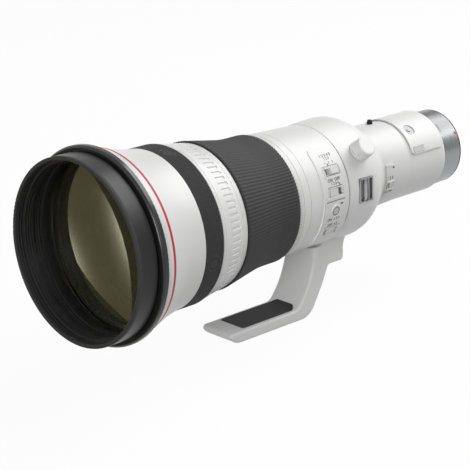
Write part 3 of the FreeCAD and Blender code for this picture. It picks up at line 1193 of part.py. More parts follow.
def make_contacts():
    """Block of spring contacts at the bottom of the throat."""
    outer = THROAT_RADIUS - SEAT_GAP
    inner = outer - CONTACT_BLOCK_HEIGHT
    y_rear = SPIGOT_LENGTH - CONTACT_PROUD
    y_front = y_rear - CONTACT_BLOCK_LENGTH
    carrier = sector(y_front, y_rear, outer, inner, 180.0 - CONTACT_BLOCK_REACH,
                     180.0 + CONTACT_BLOCK_REACH)
    pins = []
    middle = (outer + inner) / 2
    pin_length = CONTACT_DEPTH + CONTACT_PROUD
    base = vec(0, y_rear - CONTACT_DEPTH, middle)
    for number in range(CONTACTS):
        angle = 180.0 + (number - (CONTACTS - 1) / 2) * CONTACT_PITCH
        pins.append(at_angle(Part.makeCylinder(CONTACT_RADIUS, pin_length, base, AXIS), angle))
        hole = Part.makeCylinder(CONTACT_RADIUS + SEAT_GAP, pin_length, base, AXIS)
        carrier = carrier.cut(at_angle(hole, angle))
    save("contact_block", carrier)
    save("contact_pins", *pins)


def make_rear_group():
    """Black cell behind the throat that holds the last glass."""
    y_rear = -REAR_CELL_SET_IN
    y_front = y_rear - REAR_CELL_LENGTH
    inner = REAR_GLASS_RADIUS + SEAT_GAP
    outer = REAR_GLASS_RADIUS + REAR_CELL_WALL
    lip = REAR_GLASS_RADIUS - REAR_CELL_LIP
    seat = RING_BORE - SEAT_GAP
    flange_front = Y_RING_SHELF - REAR_CELL_WALL
    glass_rear = y_rear - REAR_LIP_LENGTH
    save("rear_cell", turned([
        (y_front, inner), (y_front, outer), (flange_front, outer), (flange_front, seat),
        (Y_RING_SHELF, seat), (Y_RING_SHELF, outer), (y_rear, outer), (y_rear, lip), (glass_rear, lip),
        (glass_rear, inner)]))
    hollow = glass_rear - REAR_GLASS_HOLLOW
    save("rear_glass", turned([
        (glass_rear - REAR_GLASS_LENGTH, 0.0), (glass_rear - REAR_GLASS_LENGTH, REAR_GLASS_RADIUS),
        (glass_rear, REAR_GLASS_RADIUS), (glass_rear, lip), dome(hollow, glass_rear, lip), (hollow, 0.0)]))


# Working groups inside the inner barrel

Y_MOTOR_FRONT = Y_MAIN + MOTOR_SET_BACK
Y_MOTOR_REAR = Y_MOTOR_FRONT + MOTOR_LENGTH
Y_IRIS_REAR = Y_COLLAR - IRIS_SET_BACK
Y_IRIS_FRONT = Y_IRIS_REAR - IRIS_LENGTH
INNER_SEAT = INNER_MAIN_BORE - SEAT_GAP


def make_focus_group():
    save("focus_motor", tube(Y_MOTOR_FRONT, Y_MOTOR_REAR, INNER_SEAT, MOTOR_BORE).cut(
        rod_holes(Y_MOTOR_REAR - ROD_BITE, Y_MOTOR_REAR + PAST, SEAT_GAP)))
    rods = rod_holes(Y_MOTOR_REAR - ROD_BITE, Y_IRIS_FRONT + ROD_BITE, 0.0)
    save("guide_rods", rods)
    middle = (Y_MOTOR_REAR + Y_IRIS_FRONT) / 2
    bush_length = Y_IRIS_FRONT - Y_MOTOR_REAR - 2 * (CARRIAGE_TRAVEL + CARRIAGE_END_GAP)
    front = middle - CARRIAGE_LENGTH / 2
    rear = middle + CARRIAGE_LENGTH / 2
    glass_bore = FOCUS_GLASS_RADIUS + SEAT_GAP
    lip = FOCUS_GLASS_RADIUS - FOCUS_CELL_LIP
    cell_radius = FOCUS_GLASS_RADIUS + CARRIAGE_WALL
    glass_rear = middle + FOCUS_GLASS_LENGTH / 2
    carriage = turned([
        (front, glass_bore), (front, cell_radius), (rear, cell_radius), (rear, lip), (glass_rear, lip),
        (glass_rear, glass_bore)])
    for side in (-1, 1):
        reach = ROD_CIRCLE - cell_radius + PAST
        arm = block(reach, CARRIAGE_LENGTH / 2, CARRIAGE_ARM_WIDTH,
                    vec(side * (cell_radius + (reach - PAST) / 2), middle, 0))
        bush = Part.makeCylinder(CARRIAGE_BUSH_RADIUS, bush_length,
                                 vec(side * ROD_CIRCLE, middle - bush_length / 2, 0), AXIS)
        carriage = carriage.fuse(arm).fuse(bush)
    carriage = carriage.cut(rod_holes(Y_MOTOR_FRONT, Y_IRIS_REAR, RUNNING_GAP))
    save("focus_carriage", carriage)
    hollow = glass_rear - FOCUS_GLASS_HOLLOW
    save("focus_glass", turned([
        (middle - FOCUS_GLASS_LENGTH / 2, 0.0), (middle - FOCUS_GLASS_LENGTH / 2, FOCUS_GLASS_RADIUS),
        (glass_rear, FOCUS_GLASS_RADIUS), (glass_rear, lip), dome(hollow, glass_rear, lip), (hollow, 0.0)]))


def rod_holes(y_front, y_rear, grow):
    rods = []
    for side in (-1, 1):
        rods.append(Part.makeCylinder(ROD_RADIUS + grow, y_rear - y_front,
                                      vec(side * ROD_CIRCLE, y_front, 0), AXIS))
    return Part.makeCompound(rods)


def make_iris():
    """Iris housing with its drive ring and the blades drawn back into their wide open place."""
    ring_bore = IRIS_RING_RADIUS - IRIS_RING_WALL
    ring_rear = Y_IRIS_REAR - SLIDE_GAP
    ring_front = ring_rear - IRIS_RING_LENGTH
    room_radius = ring_bore + BLADE_OVERLAP
    room_front = ring_front - BLADE_ROOM
    housing = tube(Y_IRIS_FRONT, Y_IRIS_REAR, INNER_SEAT, IRIS_BORE)
    housing = housing.cut(tube(room_front, Y_IRIS_REAR + PAST, room_radius, IRIS_BORE - PAST))
    housing = housing.cut(tube(ring_front - SLIDE_GAP, Y_IRIS_REAR + PAST, IRIS_RING_RADIUS + RUNNING_GAP,
                               ring_bore))
    housing = housing.cut(rod_holes(Y_IRIS_FRONT - PAST, Y_IRIS_FRONT + ROD_BITE, SEAT_GAP))
    save("iris_housing", housing)
    save("iris_ring", tube(ring_front, ring_rear, IRIS_RING_RADIUS, ring_bore))
    blades = []
    pitch = 360.0 / IRIS_BLADES
    blade_front = room_front + SEAT_GAP
    for number in range(IRIS_BLADES):
        blade = sector(blade_front, blade_front + IRIS_BLADE_THICKNESS, room_radius - SLIDE_GAP,
                       IRIS_BORE + BLADE_DRAW_BACK, number * pitch + BLADE_SPACE,
                       (number + 1) * pitch - BLADE_SPACE)
        blades.append(blade)
    save("iris_blades", *blades)


def make_stabiliser():
    """Glass in a cell that shifts up and down in a yoke, and the yoke sideways on a fixed base."""
    base_front = Y_COLLAR + BASE_SET_BACK
    base_rear = base_front + BASE_LENGTH
    base = tube(base_front, base_rear, INNER_COLLAR_BORE - SEAT_GAP, BASE_BORE)
    yoke_front = base_rear + STABILISER_GAP
    yoke_rear = yoke_front + YOKE_THICKNESS
    cell_radius = STABILISER_GLASS_RADIUS + STABILISER_CELL_WALL
    yoke_centre = vec(0, (yoke_front + yoke_rear) / 2, 0)
    guide_length = YOKE_THICKNESS + STABILISER_GAP
    guide_height = YOKE_HALF_HEIGHT + SLIDE_GAP + GUIDE_WALL / 2
    for height in (guide_height, -guide_height):
        guide = block(YOKE_HALF_WIDTH, guide_length + PAST, GUIDE_WALL,
                      vec(0, base_rear + (guide_length - PAST) / 2, height))
        base = base.fuse(guide)
    save("stabiliser_base", base)
    yoke = block(2 * YOKE_HALF_WIDTH, YOKE_THICKNESS, 2 * YOKE_HALF_HEIGHT, yoke_centre)
    window_height = 2 * (cell_radius + STABILISER_TRAVEL + STABILISER_GAP)
    window = block(2 * (cell_radius + SLIDE_GAP), YOKE_THICKNESS + 2 * PAST, window_height, yoke_centre)
    save("stabiliser_yoke", yoke.cut(window))
    cell_rear = yoke_front + STABILISER_CELL_LENGTH
    glass_front = yoke_front + STABILISER_LIP
    square = block(2 * cell_radius, YOKE_THICKNESS, 2 * cell_radius, yoke_centre)
    cell = square.fuse(disc(yoke_front, cell_rear, cell_radius))
    cell = cell.cut(disc(glass_front, cell_rear + PAST, STABILISER_GLASS_RADIUS + SEAT_GAP))
    cell = cell.cut(disc(yoke_front - PAST, cell_rear, STABILISER_GLASS_RADIUS - STABILISER_LIP))
    save("stabiliser_cell", cell)
    save("stabiliser_glass", disc(glass_front, glass_front + STABILISER_GLASS_LENGTH,
                                  STABILISER_GLASS_RADIUS))


def main():
    os.makedirs("parts", exist_ok=True)
    make_front_rim()
    make_hood_seat()
    make_flange_ring()
    make_front_barrel()
    make_front_glass()
    make_inner_barrel()
    make_second_group()
    make_grip_ring()
    make_preset_ring()
    make_focus_ring()
    make_main_barrel()
    make_collar()
    make_strap_lugs()
    make_lock_knob()
    make_foot()
    make_collar_retainer()
    make_rear_barrel()
    make_filter_holder()
    make_mount()
    make_contacts()
    make_rear_group()
    make_focus_group()
    make_iris()
    make_stabiliser()


main()
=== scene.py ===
import json
import math

import bmesh
import bpy
from bpy.props import FloatProperty, FloatVectorProperty, IntProperty, PointerProperty
from mathutils import Matrix, Vector


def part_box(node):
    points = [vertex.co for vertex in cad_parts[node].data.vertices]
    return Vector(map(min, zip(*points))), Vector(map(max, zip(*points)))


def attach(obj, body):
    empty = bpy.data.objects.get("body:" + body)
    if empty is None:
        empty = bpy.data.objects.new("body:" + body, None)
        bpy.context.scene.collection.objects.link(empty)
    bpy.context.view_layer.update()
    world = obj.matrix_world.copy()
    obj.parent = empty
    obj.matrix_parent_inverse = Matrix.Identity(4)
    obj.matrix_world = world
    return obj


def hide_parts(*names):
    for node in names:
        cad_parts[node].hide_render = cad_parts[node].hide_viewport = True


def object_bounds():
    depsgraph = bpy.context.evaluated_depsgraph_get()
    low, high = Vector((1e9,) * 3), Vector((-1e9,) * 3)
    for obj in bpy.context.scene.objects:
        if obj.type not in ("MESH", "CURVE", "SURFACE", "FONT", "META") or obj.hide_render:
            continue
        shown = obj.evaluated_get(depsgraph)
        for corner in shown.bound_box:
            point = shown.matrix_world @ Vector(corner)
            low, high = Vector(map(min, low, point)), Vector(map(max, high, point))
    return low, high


bl_info = {
    "name": "Super-telephoto lens",
    "version": (1, 0, 0),
    "blender": (4, 5, 0),
    "location": "3D View > Sidebar > Telephoto lens",
    "description": "Dresses the packed telephoto lens in paint, rubber, chrome and glass, in a studio",
    "category": "Object",
}

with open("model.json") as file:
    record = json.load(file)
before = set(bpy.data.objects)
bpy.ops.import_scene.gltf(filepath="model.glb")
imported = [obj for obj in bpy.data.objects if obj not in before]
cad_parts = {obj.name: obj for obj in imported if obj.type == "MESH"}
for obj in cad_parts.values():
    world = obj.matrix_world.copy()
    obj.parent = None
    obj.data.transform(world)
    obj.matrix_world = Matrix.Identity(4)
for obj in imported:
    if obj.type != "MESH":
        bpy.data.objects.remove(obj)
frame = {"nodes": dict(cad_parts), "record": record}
CAD_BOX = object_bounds()

MM = 0.001
FULL_TURN = 2.0 * math.pi
MERGE_DISTANCE = 1e-6

# The lens runs along Y, from its front rim at -432 mm to the mount face at zero.
# Angles round it are in degrees from +Z towards +X, the switch side.
ALONG_LENS = (0, 1, 0)
UPRIGHT = (0, 0, 1)
FLOOR_LEVEL = CAD_BOX[0].z

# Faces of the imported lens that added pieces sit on, by their distance from the optical axis
PANEL_RADIUS = 54.1 * MM
REAR_PANEL_RADIUS = 38.5 * MM
SLOT_FLOOR = 50.03 * MM
LUG_FACE = 53.5 * MM
MOUNT_RADIUS = 34.95 * MM
MOUNT_RIM_RADIUS = 34.12 * MM

# Places on these faces
PANEL_MIDDLE = -190.5 * MM
SET_BUTTON_ANGLE = 98.4
LUG_ANGLE = 87.5

# The inside of the front, which is black, and the clear pane in it
TUBE_RADIUS = 74.6 * MM
TUBE_END = -392.0 * MM
GLASS_BORE = 64.9 * MM
HOOD_BORE = 75.2 * MM
HOOD_FRONT = -430.5 * MM
PANE_RADIUS = 72.4 * MM
PANE_PLACE = -404.2 * MM
CLEAR_RADIUS = 72.2 * MM

WHITE = (1.0, 1.0, 1.0, 1.0)


# Shader maths

class Wire:
    """A node's output socket. Sums and products of wires add Math nodes."""

    def __init__(self, finish, socket):
        self.finish = finish
        self.socket = socket

    def math(self, operation, first, second):
        return self.finish.node("ShaderNodeMath", {"operation": operation}, {0: first, 1: second})

    def __add__(self, other):
        return self.math("ADD", self, other)

    def __radd__(self, other):
        return self.math("ADD", other, self)

    def __sub__(self, other):
        return self.math("SUBTRACT", self, other)

    def __rsub__(self, other):
        return self.math("SUBTRACT", other, self)

    def __mul__(self, other):
        return self.math("MULTIPLY", self, other)

    def __rmul__(self, other):
        return self.math("MULTIPLY", other, self)

    def __gt__(self, other):
        return self.math("GREATER_THAN", self, other)

    def __lt__(self, other):
        return self.math("LESS_THAN", self, other)

    def __truediv__(self, other):
        return self.math("DIVIDE", self, other)

    def powered(self, exponent):
        return self.math("POWER", self, exponent)

    def fading(self, reach):
        """One at zero, and 0.37 of what it was with each further reach."""
        return self.math("POWER", 0.3679, self / reach)

    def largest(self, other):
        return self.math("MAXIMUM", self, other)


class Finish:
    """A node material, or the world's nodes, made one node at a time."""

    def __init__(self, owner):
        self.owner = owner
        owner.use_nodes = True
        self.tree = owner.node_tree
        self.tree.nodes.clear()

    @classmethod
    def named(cls, name):
        return cls(bpy.data.materials.new(name))

    def node(self, kind, settings=None, sockets=None, output=0):
        """Add a node: its settings first, then numbers or wires into its sockets."""
        node = self.tree.nodes.new(kind)
        for key, value in (settings or {}).items():
            setattr(node, key, value)
        for key, value in (sockets or {}).items():
            if isinstance(value, Wire):
                self.tree.links.new(value.socket, node.inputs[key])
            else:
                node.inputs[key].default_value = value
        if not len(node.outputs):
            return node
        return Wire(self, node.outputs[output])

    def place(self):
        """Object coordinates in metres."""
        return self.node("ShaderNodeTexCoord", output=3)

    def axes(self):
        """The three Object coordinates as numbers."""
        parts = self.tree.nodes.new("ShaderNodeSeparateXYZ")
        self.tree.links.new(self.place().socket, parts.inputs[0])
        return [Wire(self, output) for output in parts.outputs]

    def from_axis(self):
        """Distance from the optical axis."""
        x, y, z = self.axes()
        return (x * x + z * z).powered(0.5)

    def from_point(self, first, second):
        """Distance from an upright line through a place on the floor."""
        x, y, z = self.axes()
        return ((x - first).powered(2.0) + (y - second).powered(2.0)).powered(0.5)

    def stretched(self, scale):
        """Object coordinates with a scale of their own along each axis."""
        return self.node("ShaderNodeMapping", None, {"Vector": self.place(), "Scale": scale})

    def noise(self, scale, detail=2.0, vector=None):
        """Noise value, with a scale in grains per metre."""
        return self.node("ShaderNodeTexNoise", None, {
            "Vector": vector or self.place(), "Scale": scale, "Detail": detail})

    def bump(self, height, distance, strength):
        return self.node("ShaderNodeBump", None, {
            "Height": height, "Distance": distance, "Strength": strength})

    def mixed(self, share, first, second):
        """Colour between two colours."""
        return self.node("ShaderNodeMix", {"data_type": "RGBA"}, {0: share, 6: first, 7: second}, 2)

    def light(self, colour, strength=1.0, kind="ShaderNodeEmission"):
        """Shader that shines in a colour."""
        return self.node(kind, None, {"Color": colour, "Strength": strength})

    def shown(self, shader, kind="ShaderNodeOutputMaterial"):
        """Put a shader on the output of the material or the world."""
        self.node(kind, None, {"Surface": shader})
        return self.owner

    def surface(self, sockets):
        """Principled shader on the material's output."""
        return self.shown(self.node("ShaderNodeBsdfPrincipled", None, sockets))


def opaque(colour, factor=1.0):
    return (colour[0] * factor, colour[1] * factor, colour[2] * factor, 1.0)


def sprayed(finish, colour, roughness=0.34):
    """Sockets of sprayed paint: fine orange peel, faint speckle and a slightly uneven gloss."""
    cloud = finish.noise(9.0)
    share = finish.noise(2600.0, 3.0) * 0.6 + cloud * 0.4
    return {
        "Base Color": finish.mixed(share, opaque(colour, 0.965), opaque(colour, 1.02)),
        "Roughness": roughness + (cloud - 0.5) * 0.12,
        "Normal": finish.bump(finish.noise(1500.0, 1.0), 0.00002, 0.5),
        "Specular IOR Level": 0.4}


def lathe_lines(finish, along=4200.0, around=30.0, detail=2.0):
    """Fine lines that run round the lens, with their scale along it and round it."""
    return finish.noise(1.0, detail, finish.stretched((around, along, around)))


def satin_paint(name, colour, roughness=0.34):
    finish = Finish.named(name)
    return finish.surface(sprayed(finish, colour, roughness))


def barrel_paint(name, outside, inside):
    """White paint outside, matt black in the tube before and behind the front glass."""
    finish = Finish.named(name)
    sockets = sprayed(finish, outside)
    from_axis = finish.from_axis()
    along = finish.axes()[1]
    tube = (from_axis < TUBE_RADIUS) * (along < TUBE_END)
    bore = from_axis < GLASS_BORE
    black = finish.mixed(finish.noise(2600.0, 3.0), opaque(inside, 0.8), opaque(inside, 1.2))
    sockets["Base Color"] = finish.mixed(tube.largest(bore), sockets["Base Color"], black)
    sockets["Roughness"] = sockets["Roughness"] + tube * 0.3
    return finish.surface(sockets)


def satin_black(name, colour, roughness, level=0.35):
    """Black anodised or painted metal with a fine grain."""
    finish = Finish.named(name)
    grain = finish.noise(3200.0)
    cloud = finish.noise(14.0)
    tint = finish.mixed(grain, opaque(colour, 0.75), opaque(colour, 1.25))
    return finish.surface({
        "Base Color": tint, "Roughness": roughness + (cloud - 0.5) * 0.1 + (grain - 0.5) * 0.08,
        "Normal": finish.bump(grain, 0.00002, 0.4), "Specular IOR Level": level})


def turned_black(name, colour, roughness, level):
    """Black metal with fine lathe lines that run round the lens."""
    finish = Finish.named(name)
    lines = lathe_lines(finish)
    tint = finish.mixed(lines, opaque(colour, 0.7), opaque(colour, 1.3))
    return finish.surface({
        "Base Color": tint, "Roughness": roughness + (lines - 0.5) * 0.12,
        "Normal": finish.bump(lines, 0.00003, 0.35), "Specular IOR Level": level})


def ridged_black(name, colour):
    """Black hood seat: lathe lines outside, and fine ridges against stray light inside, where the black is
    also painted lighter as painted light on the inner wall.
    """
    finish = Finish.named(name)
    lines = lathe_lines(finish)
    along = finish.axes()[1]
    inside = (finish.from_axis() < HOOD_BORE) * (along > HOOD_FRONT)
    pitch = 2.6 * MM
    ridges = finish.node("ShaderNodeMath", {"operation": "SINE"}, {0: along * (FULL_TURN / pitch)})
    height = lines * 0.03 + inside * ridges * 0.8
    tint = finish.mixed(lines, opaque(colour, 0.8), opaque(colour, 1.3))
    # Painted light: inside the hood the black is made 2.2 times lighter, standing in for light falling on
    # the inner wall
    tint = finish.mixed(inside, tint, opaque(colour, 2.2))
    return finish.surface({
        "Base Color": tint, "Roughness": 0.36 + (lines - 0.5) * 0.12,
        "Normal": finish.bump(height, 0.0005, 0.5), "Specular IOR Level": 0.3})


def moulded_rubber(name, colour, roughness=0.72):
    """Matt rubber with a fine dusty grain."""
    finish = Finish.named(name)
    grain = finish.noise(2400.0, 3.0)
    cloud = finish.noise(30.0, 3.0)
    tint = finish.mixed(grain * 0.5 + cloud * 0.5, opaque(colour, 0.8), opaque(colour, 1.2))
    return finish.surface({
        "Base Color": tint, "Roughness": roughness + (grain - 0.5) * 0.15,
        "Normal": finish.bump(grain, 0.00004, 0.6), "Specular IOR Level": 0.4})


def brushed_metal(name, colour, roughness=0.3):
    """Bright metal brushed round the lens."""
    finish = Finish.named(name)
    lines = lathe_lines(finish, 5200.0, 16.0, 3.0)
    streaks = lathe_lines(finish, 900.0, 40.0)
    tint = finish.mixed(lines * 0.6 + streaks * 0.4, opaque(colour, 0.82), opaque(colour, 1.1))
    return finish.surface({
        "Base Color": tint, "Metallic": 1.0, "Roughness": roughness + (lines - 0.5) * 0.2,
        "Normal": finish.bump(lines, 0.00003, 0.25)})


def plain_metal(name, colour, roughness=0.28):
    """Machined metal with a fine grain."""
    finish = Finish.named(name)
    grain = finish.noise(1800.0, 3.0)
    tint = finish.mixed(grain, opaque(colour, 0.85), opaque(colour, 1.08))
    return finish.surface({
        "Base Color": tint, "Metallic": 1.0, "Roughness": roughness + (grain - 0.5) * 0.16,
        "Normal": finish.bump(grain, 0.00002, 0.3)})


def enamel(name, colour, roughness):
    """Filled line or printed ink, with slightly uneven cover."""
    finish = Finish.named(name)
    grain = finish.noise(4000.0)
    tint = finish.mixed(grain, opaque(colour, 0.88), opaque(colour, 1.1))
    return finish.surface({
        "Base Color": tint, "Roughness": roughness + (grain - 0.5) * 0.1,
        "Normal": finish.bump(grain, 0.00001, 0.3)})


def coated_glass(name, tint, index=1.5, clear=1.0, reach=None):
    """Glass with a coating colour. Less than clear, it shows its own colour too.

    Where a reach is given, nothing shows further than that from the optical axis.
    """
    finish = Finish.named(name)
    colour = finish.mixed(finish.noise(6.0, 1.0), opaque(tint, 0.95), opaque(tint))
    sockets = {"Base Color": colour, "Roughness": 0.0, "Transmission Weight": clear, "IOR": index}
    if reach:
        sockets["Alpha"] = finish.from_axis() < reach
    return finish.surface(sockets)


def make_finishes(colours):
    """Every material, by the slot, node or added piece that wears it."""
    return {
        "white_paint": satin_paint("White paint", colours.paint),
        "white_knob": satin_paint("White knob paint", colours.knob, 0.3),
        "switch_white": satin_paint("Switch plastic", colours.switches, 0.4),
        "button_white": satin_paint("Button plastic", colours.buttons, 0.42),
        "black_metal": ridged_black("Black hood seat", colours.black),
        "gloss_black": turned_black("Gloss black flange", colours.black, 0.2, 0.45),
        "black_rubber": moulded_rubber("Black rubber", colours.rubber),
        "red_line": enamel("Crimson line", colours.line, 0.55),
        "inner_metal": turned_black("Black inner metal", colours.inside, 0.5, 0.2),
        "glass": coated_glass("Coated glass", colours.glass),
        "front_barrel": barrel_paint("Front barrel paint", colours.paint, colours.inside),
        "front_glass": coated_glass("Front glass", colours.depth, 1.01, 0.7),
        "front_pane": coated_glass("Front coating", colours.glass, reach=CLEAR_RADIUS),
        "bright_chrome": brushed_metal("Brushed chrome", colours.chrome),
        "plate_chrome": brushed_metal("Bayonet chrome", colours.chrome, 0.24),
        "steel": plain_metal("Steel", colours.steel),
        "black_plastic": satin_black("Black plastic", colours.black, 0.5),
        "gold": plain_metal("Gold contacts", colours.gold, 0.24),
        "mid_black": moulded_rubber("Grip button rubber", colours.rubber, 0.6),
        "ink": enamel("Dark ink", colours.ink, 0.5),
        # Grey lines beside the raised panel frames are painted shadow; the same grey rings the set button
        "trim": enamel("Grey trim", colours.trim, 0.5),
        "hoop": satin_black("Black rings", colours.black, 0.4, 0.2),
        # Whiter than the paint: a painted highlight on the raised panel lines
        "bright_line": enamel("Painted highlight line", colours.bright, 0.4),
        "index_red": enamel("Red index", colours.index, 0.35),
    }


# Filled by the finishes operator
FINISHES = {}


# Sizes and colours that a user would change

def length_setting(name, description, default):
    return FloatProperty(name=name, description=description, default=default, unit="LENGTH", precision=5)


def count_setting(name, description, default):
    return IntProperty(name=name, description=description, default=default, min=3)


def colour_setting(name, description, default):
    return FloatVectorProperty(name=name, description=description, default=default, subtype="COLOR",
                               min=0.0, max=1.0)


class LensSizes(bpy.types.PropertyGroup):
    """Sizes of the pieces that the looks add."""

    stud_columns: count_setting("Stud columns", "Studs round the grip ring", 264)
    stud_rows: count_setting("Stud rows", "Studs along the grip ring", 11)
    stud_height: length_setting("Stud height", "How far each stud stands above the grip ring", 0.35 * MM)
    stud_flank: length_setting("Stud flank", "Width of each stud's slope", 0.36 * MM)
    button_room: length_setting("Button room", "Radius of the plain place round each grip button", 8.2 * MM)
    hoop_height: length_setting("Hoop height", "Height of the raised rim round each button", 0.5 * MM)
    scoops: count_setting("Scoops", "Finger scoops round the preset ring", 76)
    scoop_depth: length_setting("Scoop depth", "Depth of each finger scoop", 0.95 * MM)
    scoop_flank: length_setting("Scoop flank", "Width of each scoop's slope", 0.55 * MM)
    line_width: length_setting("Line width", "Width of the crimson line", 2.9 * MM)
    line_depth: length_setting("Line depth", "Depth of the two fine grooves of the preset ring", 0.35 * MM)
    ribs: count_setting("Ribs", "Ribs round the focus rubber", 128)
    rib_height: length_setting("Rib height", "Height of each rib of the focus rubber", 0.55 * MM)
    knob_ribs: count_setting("Knob ribs", "Ribs round the lock knob", 28)
    knob_rib_depth: length_setting("Knob rib depth", "Depth between the lock knob's ribs", 0.7 * MM)
    mark_height: length_setting("Mark height", "Thickness of printed marks", 0.04 * MM)
    frame_height: length_setting("Frame height", "Height of the frames on the switch panels", 0.55 * MM)


class LensColours(bpy.types.PropertyGroup):
    """Colours of the lens."""

    paint: colour_setting("Paint", "Off-white of the barrels", (0.80, 0.80, 0.795))
    knob: colour_setting("Knob", "Off-white of the lock knob", (0.80, 0.80, 0.79))
    switches: colour_setting("Switches", "Off-white of the slide switches", (0.74, 0.74, 0.73))
    buttons: colour_setting("Buttons", "Pale grey of the release and set buttons", (0.62, 0.62, 0.61))
    black: colour_setting("Black", "Black of the hood seat, flange and plastic", (0.012, 0.012, 0.012))
    inside: colour_setting("Inside", "Black of the inner metal", (0.012, 0.012, 0.011))
    rubber: colour_setting("Rubber", "Dark grey of the rubber", (0.027, 0.027, 0.027))
    line: colour_setting("Line", "Crimson of the front line", (0.50, 0.006, 0.024))
    index: colour_setting("Index", "Red of the mount's index mark", (0.60, 0.03, 0.05))
    ink: colour_setting("Ink", "Dark grey of the printed marks", (0.05, 0.05, 0.05))
    # Grey of the painted shadow lines beside the raised panel frames, and of the set button's ring
    trim: colour_setting("Trim", "Grey of the frames' dark lines", (0.24, 0.24, 0.24))
    # Whiter than the paint, as a painted highlight on the raised panel lines
    bright: colour_setting("Bright", "White of the panels' raised lines", (0.96, 0.96, 0.96))
    glass: colour_setting("Glass", "Tint of the glass", (0.93, 0.93, 0.84))
    depth: colour_setting("Depth", "Olive dark of the front glass", (0.10, 0.10, 0.06))
    chrome: colour_setting("Chrome", "Brushed metal of the mount ring", (0.32, 0.335, 0.34))
    steel: colour_setting("Steel", "Grey metal of screws and strap bars", (0.40, 0.40, 0.41))
    gold: colour_setting("Gold", "Gold of the contact pins", (0.80, 0.58, 0.28))


# Making of meshes and objects

def spun(corners, axis, steps, closed=True):
    """Outline turned round an axis through the origin."""
    bm = bmesh.new()
    line = [bm.verts.new(corner) for corner in corners]
    followers = line[1:] + line[:1] if closed else line[1:]
    for first, second in zip(line, followers):
        bm.edges.new((first, second))
    bmesh.ops.spin(bm, geom=bm.verts[:] + bm.edges[:], cent=(0, 0, 0), axis=axis, angle=FULL_TURN,
                   steps=steps, use_merge=True)
    bmesh.ops.remove_doubles(bm, verts=bm.verts, dist=MERGE_DISTANCE)
    bmesh.ops.recalc_face_normals(bm, faces=bm.faces)
    return bm


def turned(points, steps):
    """Closed (y, radius) outline turned round the optical axis."""
    return spun([(0.0, y, radius) for y, radius in points], ALONG_LENS, steps)


def hoop(inner, outer, height):
    """Flat ring with a bevelled top, standing on its own middle."""
    slope = min(height, outer - inner) / 3
    outline = [(inner, 0.0), (outer, 0.0), (outer, height - slope), (outer - slope, height),
               (inner + slope, height), (inner, height - slope)]
    return spun([(radius, 0.0, level) for radius, level in outline], UPRIGHT, steps=64)


def thickened(bm, height):
    """Flat drawing at level zero, raised to a height."""
    raised = bmesh.ops.extrude_face_region(bm, geom=bm.faces[:])
    top = [item for item in raised["geom"] if isinstance(item, bmesh.types.BMVert)]
    bmesh.ops.translate(bm, vec=(0, 0, height), verts=top)
    bmesh.ops.recalc_face_normals(bm, faces=bm.faces)
    return bm


def disc(radius, height, corners):
    bm = bmesh.new()
    bmesh.ops.create_circle(bm, cap_ends=True, segments=corners, radius=radius)
    return thickened(bm, height)


def bar(length, width, height):
    """Thin flat bar, cut across so that it can bend round the lens."""
    bm = bmesh.new()
    bmesh.ops.create_grid(bm, x_segments=1, y_segments=12, size=0.5)
    bmesh.ops.scale(bm, vec=(length, width, 1.0), verts=bm.verts)
    return thickened(bm, height)


def slab(length, width, height):
    """Straight block with its long side along x, its width along y and its foot at zero."""
    bm = bmesh.new()
    bmesh.ops.create_cube(bm, size=1.0)
    shift(bm, (0, 0, 0.5))
    bmesh.ops.scale(bm, vec=(length, width, height), verts=bm.verts)
    return bm


def soften(bm, edges, offset):
    """Round off some edges."""
    bmesh.ops.bevel(bm, geom=edges, offset=offset, segments=2, profile=0.5, affect="EDGES", material=-1)


def shift(bm, way):
    bmesh.ops.translate(bm, vec=way, verts=bm.verts)


def twist(bm, angle, axis):
    """Turn a drawing round one of the frame's axes."""
    turn = Matrix.Rotation(math.radians(angle), 3, axis)
    bmesh.ops.rotate(bm, verts=bm.verts, cent=(0, 0, 0), matrix=turn)


def wrap(bm, radius, angle, y):
    """Bend a flat drawing onto a cylinder: its x runs along the lens and its y up round it."""
    for vert in bm.verts:
        around = math.radians(angle) - vert.co.y / radius
        out = radius + vert.co.z
        vert.co = Vector((out * math.sin(around), y + vert.co.x, out * math.cos(around)))


def stand(bm, radius, angle, y):
    """Set a drawing down at an angle round the lens without bending it: its x runs along the lens."""
    twist(bm, -90, "Z")
    bmesh.ops.scale(bm, vec=(1.0, -1.0, 1.0), verts=bm.verts)
    bmesh.ops.recalc_face_normals(bm, faces=bm.faces)
    shift(bm, (0, y, radius))
    twist(bm, angle, "Y")


def merge(target, extra):
    """Add one bmesh to another."""
    mesh = bpy.data.meshes.new("part of a piece")
    extra.to_mesh(mesh)
    extra.free()
    target.from_mesh(mesh)
    bpy.data.meshes.remove(mesh)


def lettering(text, height, thickness):
    """Generic letters or numbers as a thin flat mesh, centred, in a slightly heavy print."""
    size_per_height = 1.4
    stroke_per_height = 0.045
    curve = bpy.data.curves.new("letters", "FONT")
    curve.body = text
    curve.size = height * size_per_height
    curve.offset = height * stroke_per_height
    curve.extrude = thickness / 2
    curve.align_x = "CENTER"
    curve.align_y = "CENTER"
    curve.resolution_u = 2
    writer = new_object("letters", curve)
    mesh = bpy.data.meshes.new_from_object(writer)
    bm = bmesh.new()
    bm.from_mesh(mesh)
    bpy.data.objects.remove(writer)
    bpy.data.meshes.remove(mesh)
    bpy.data.curves.remove(curve)
    return bm


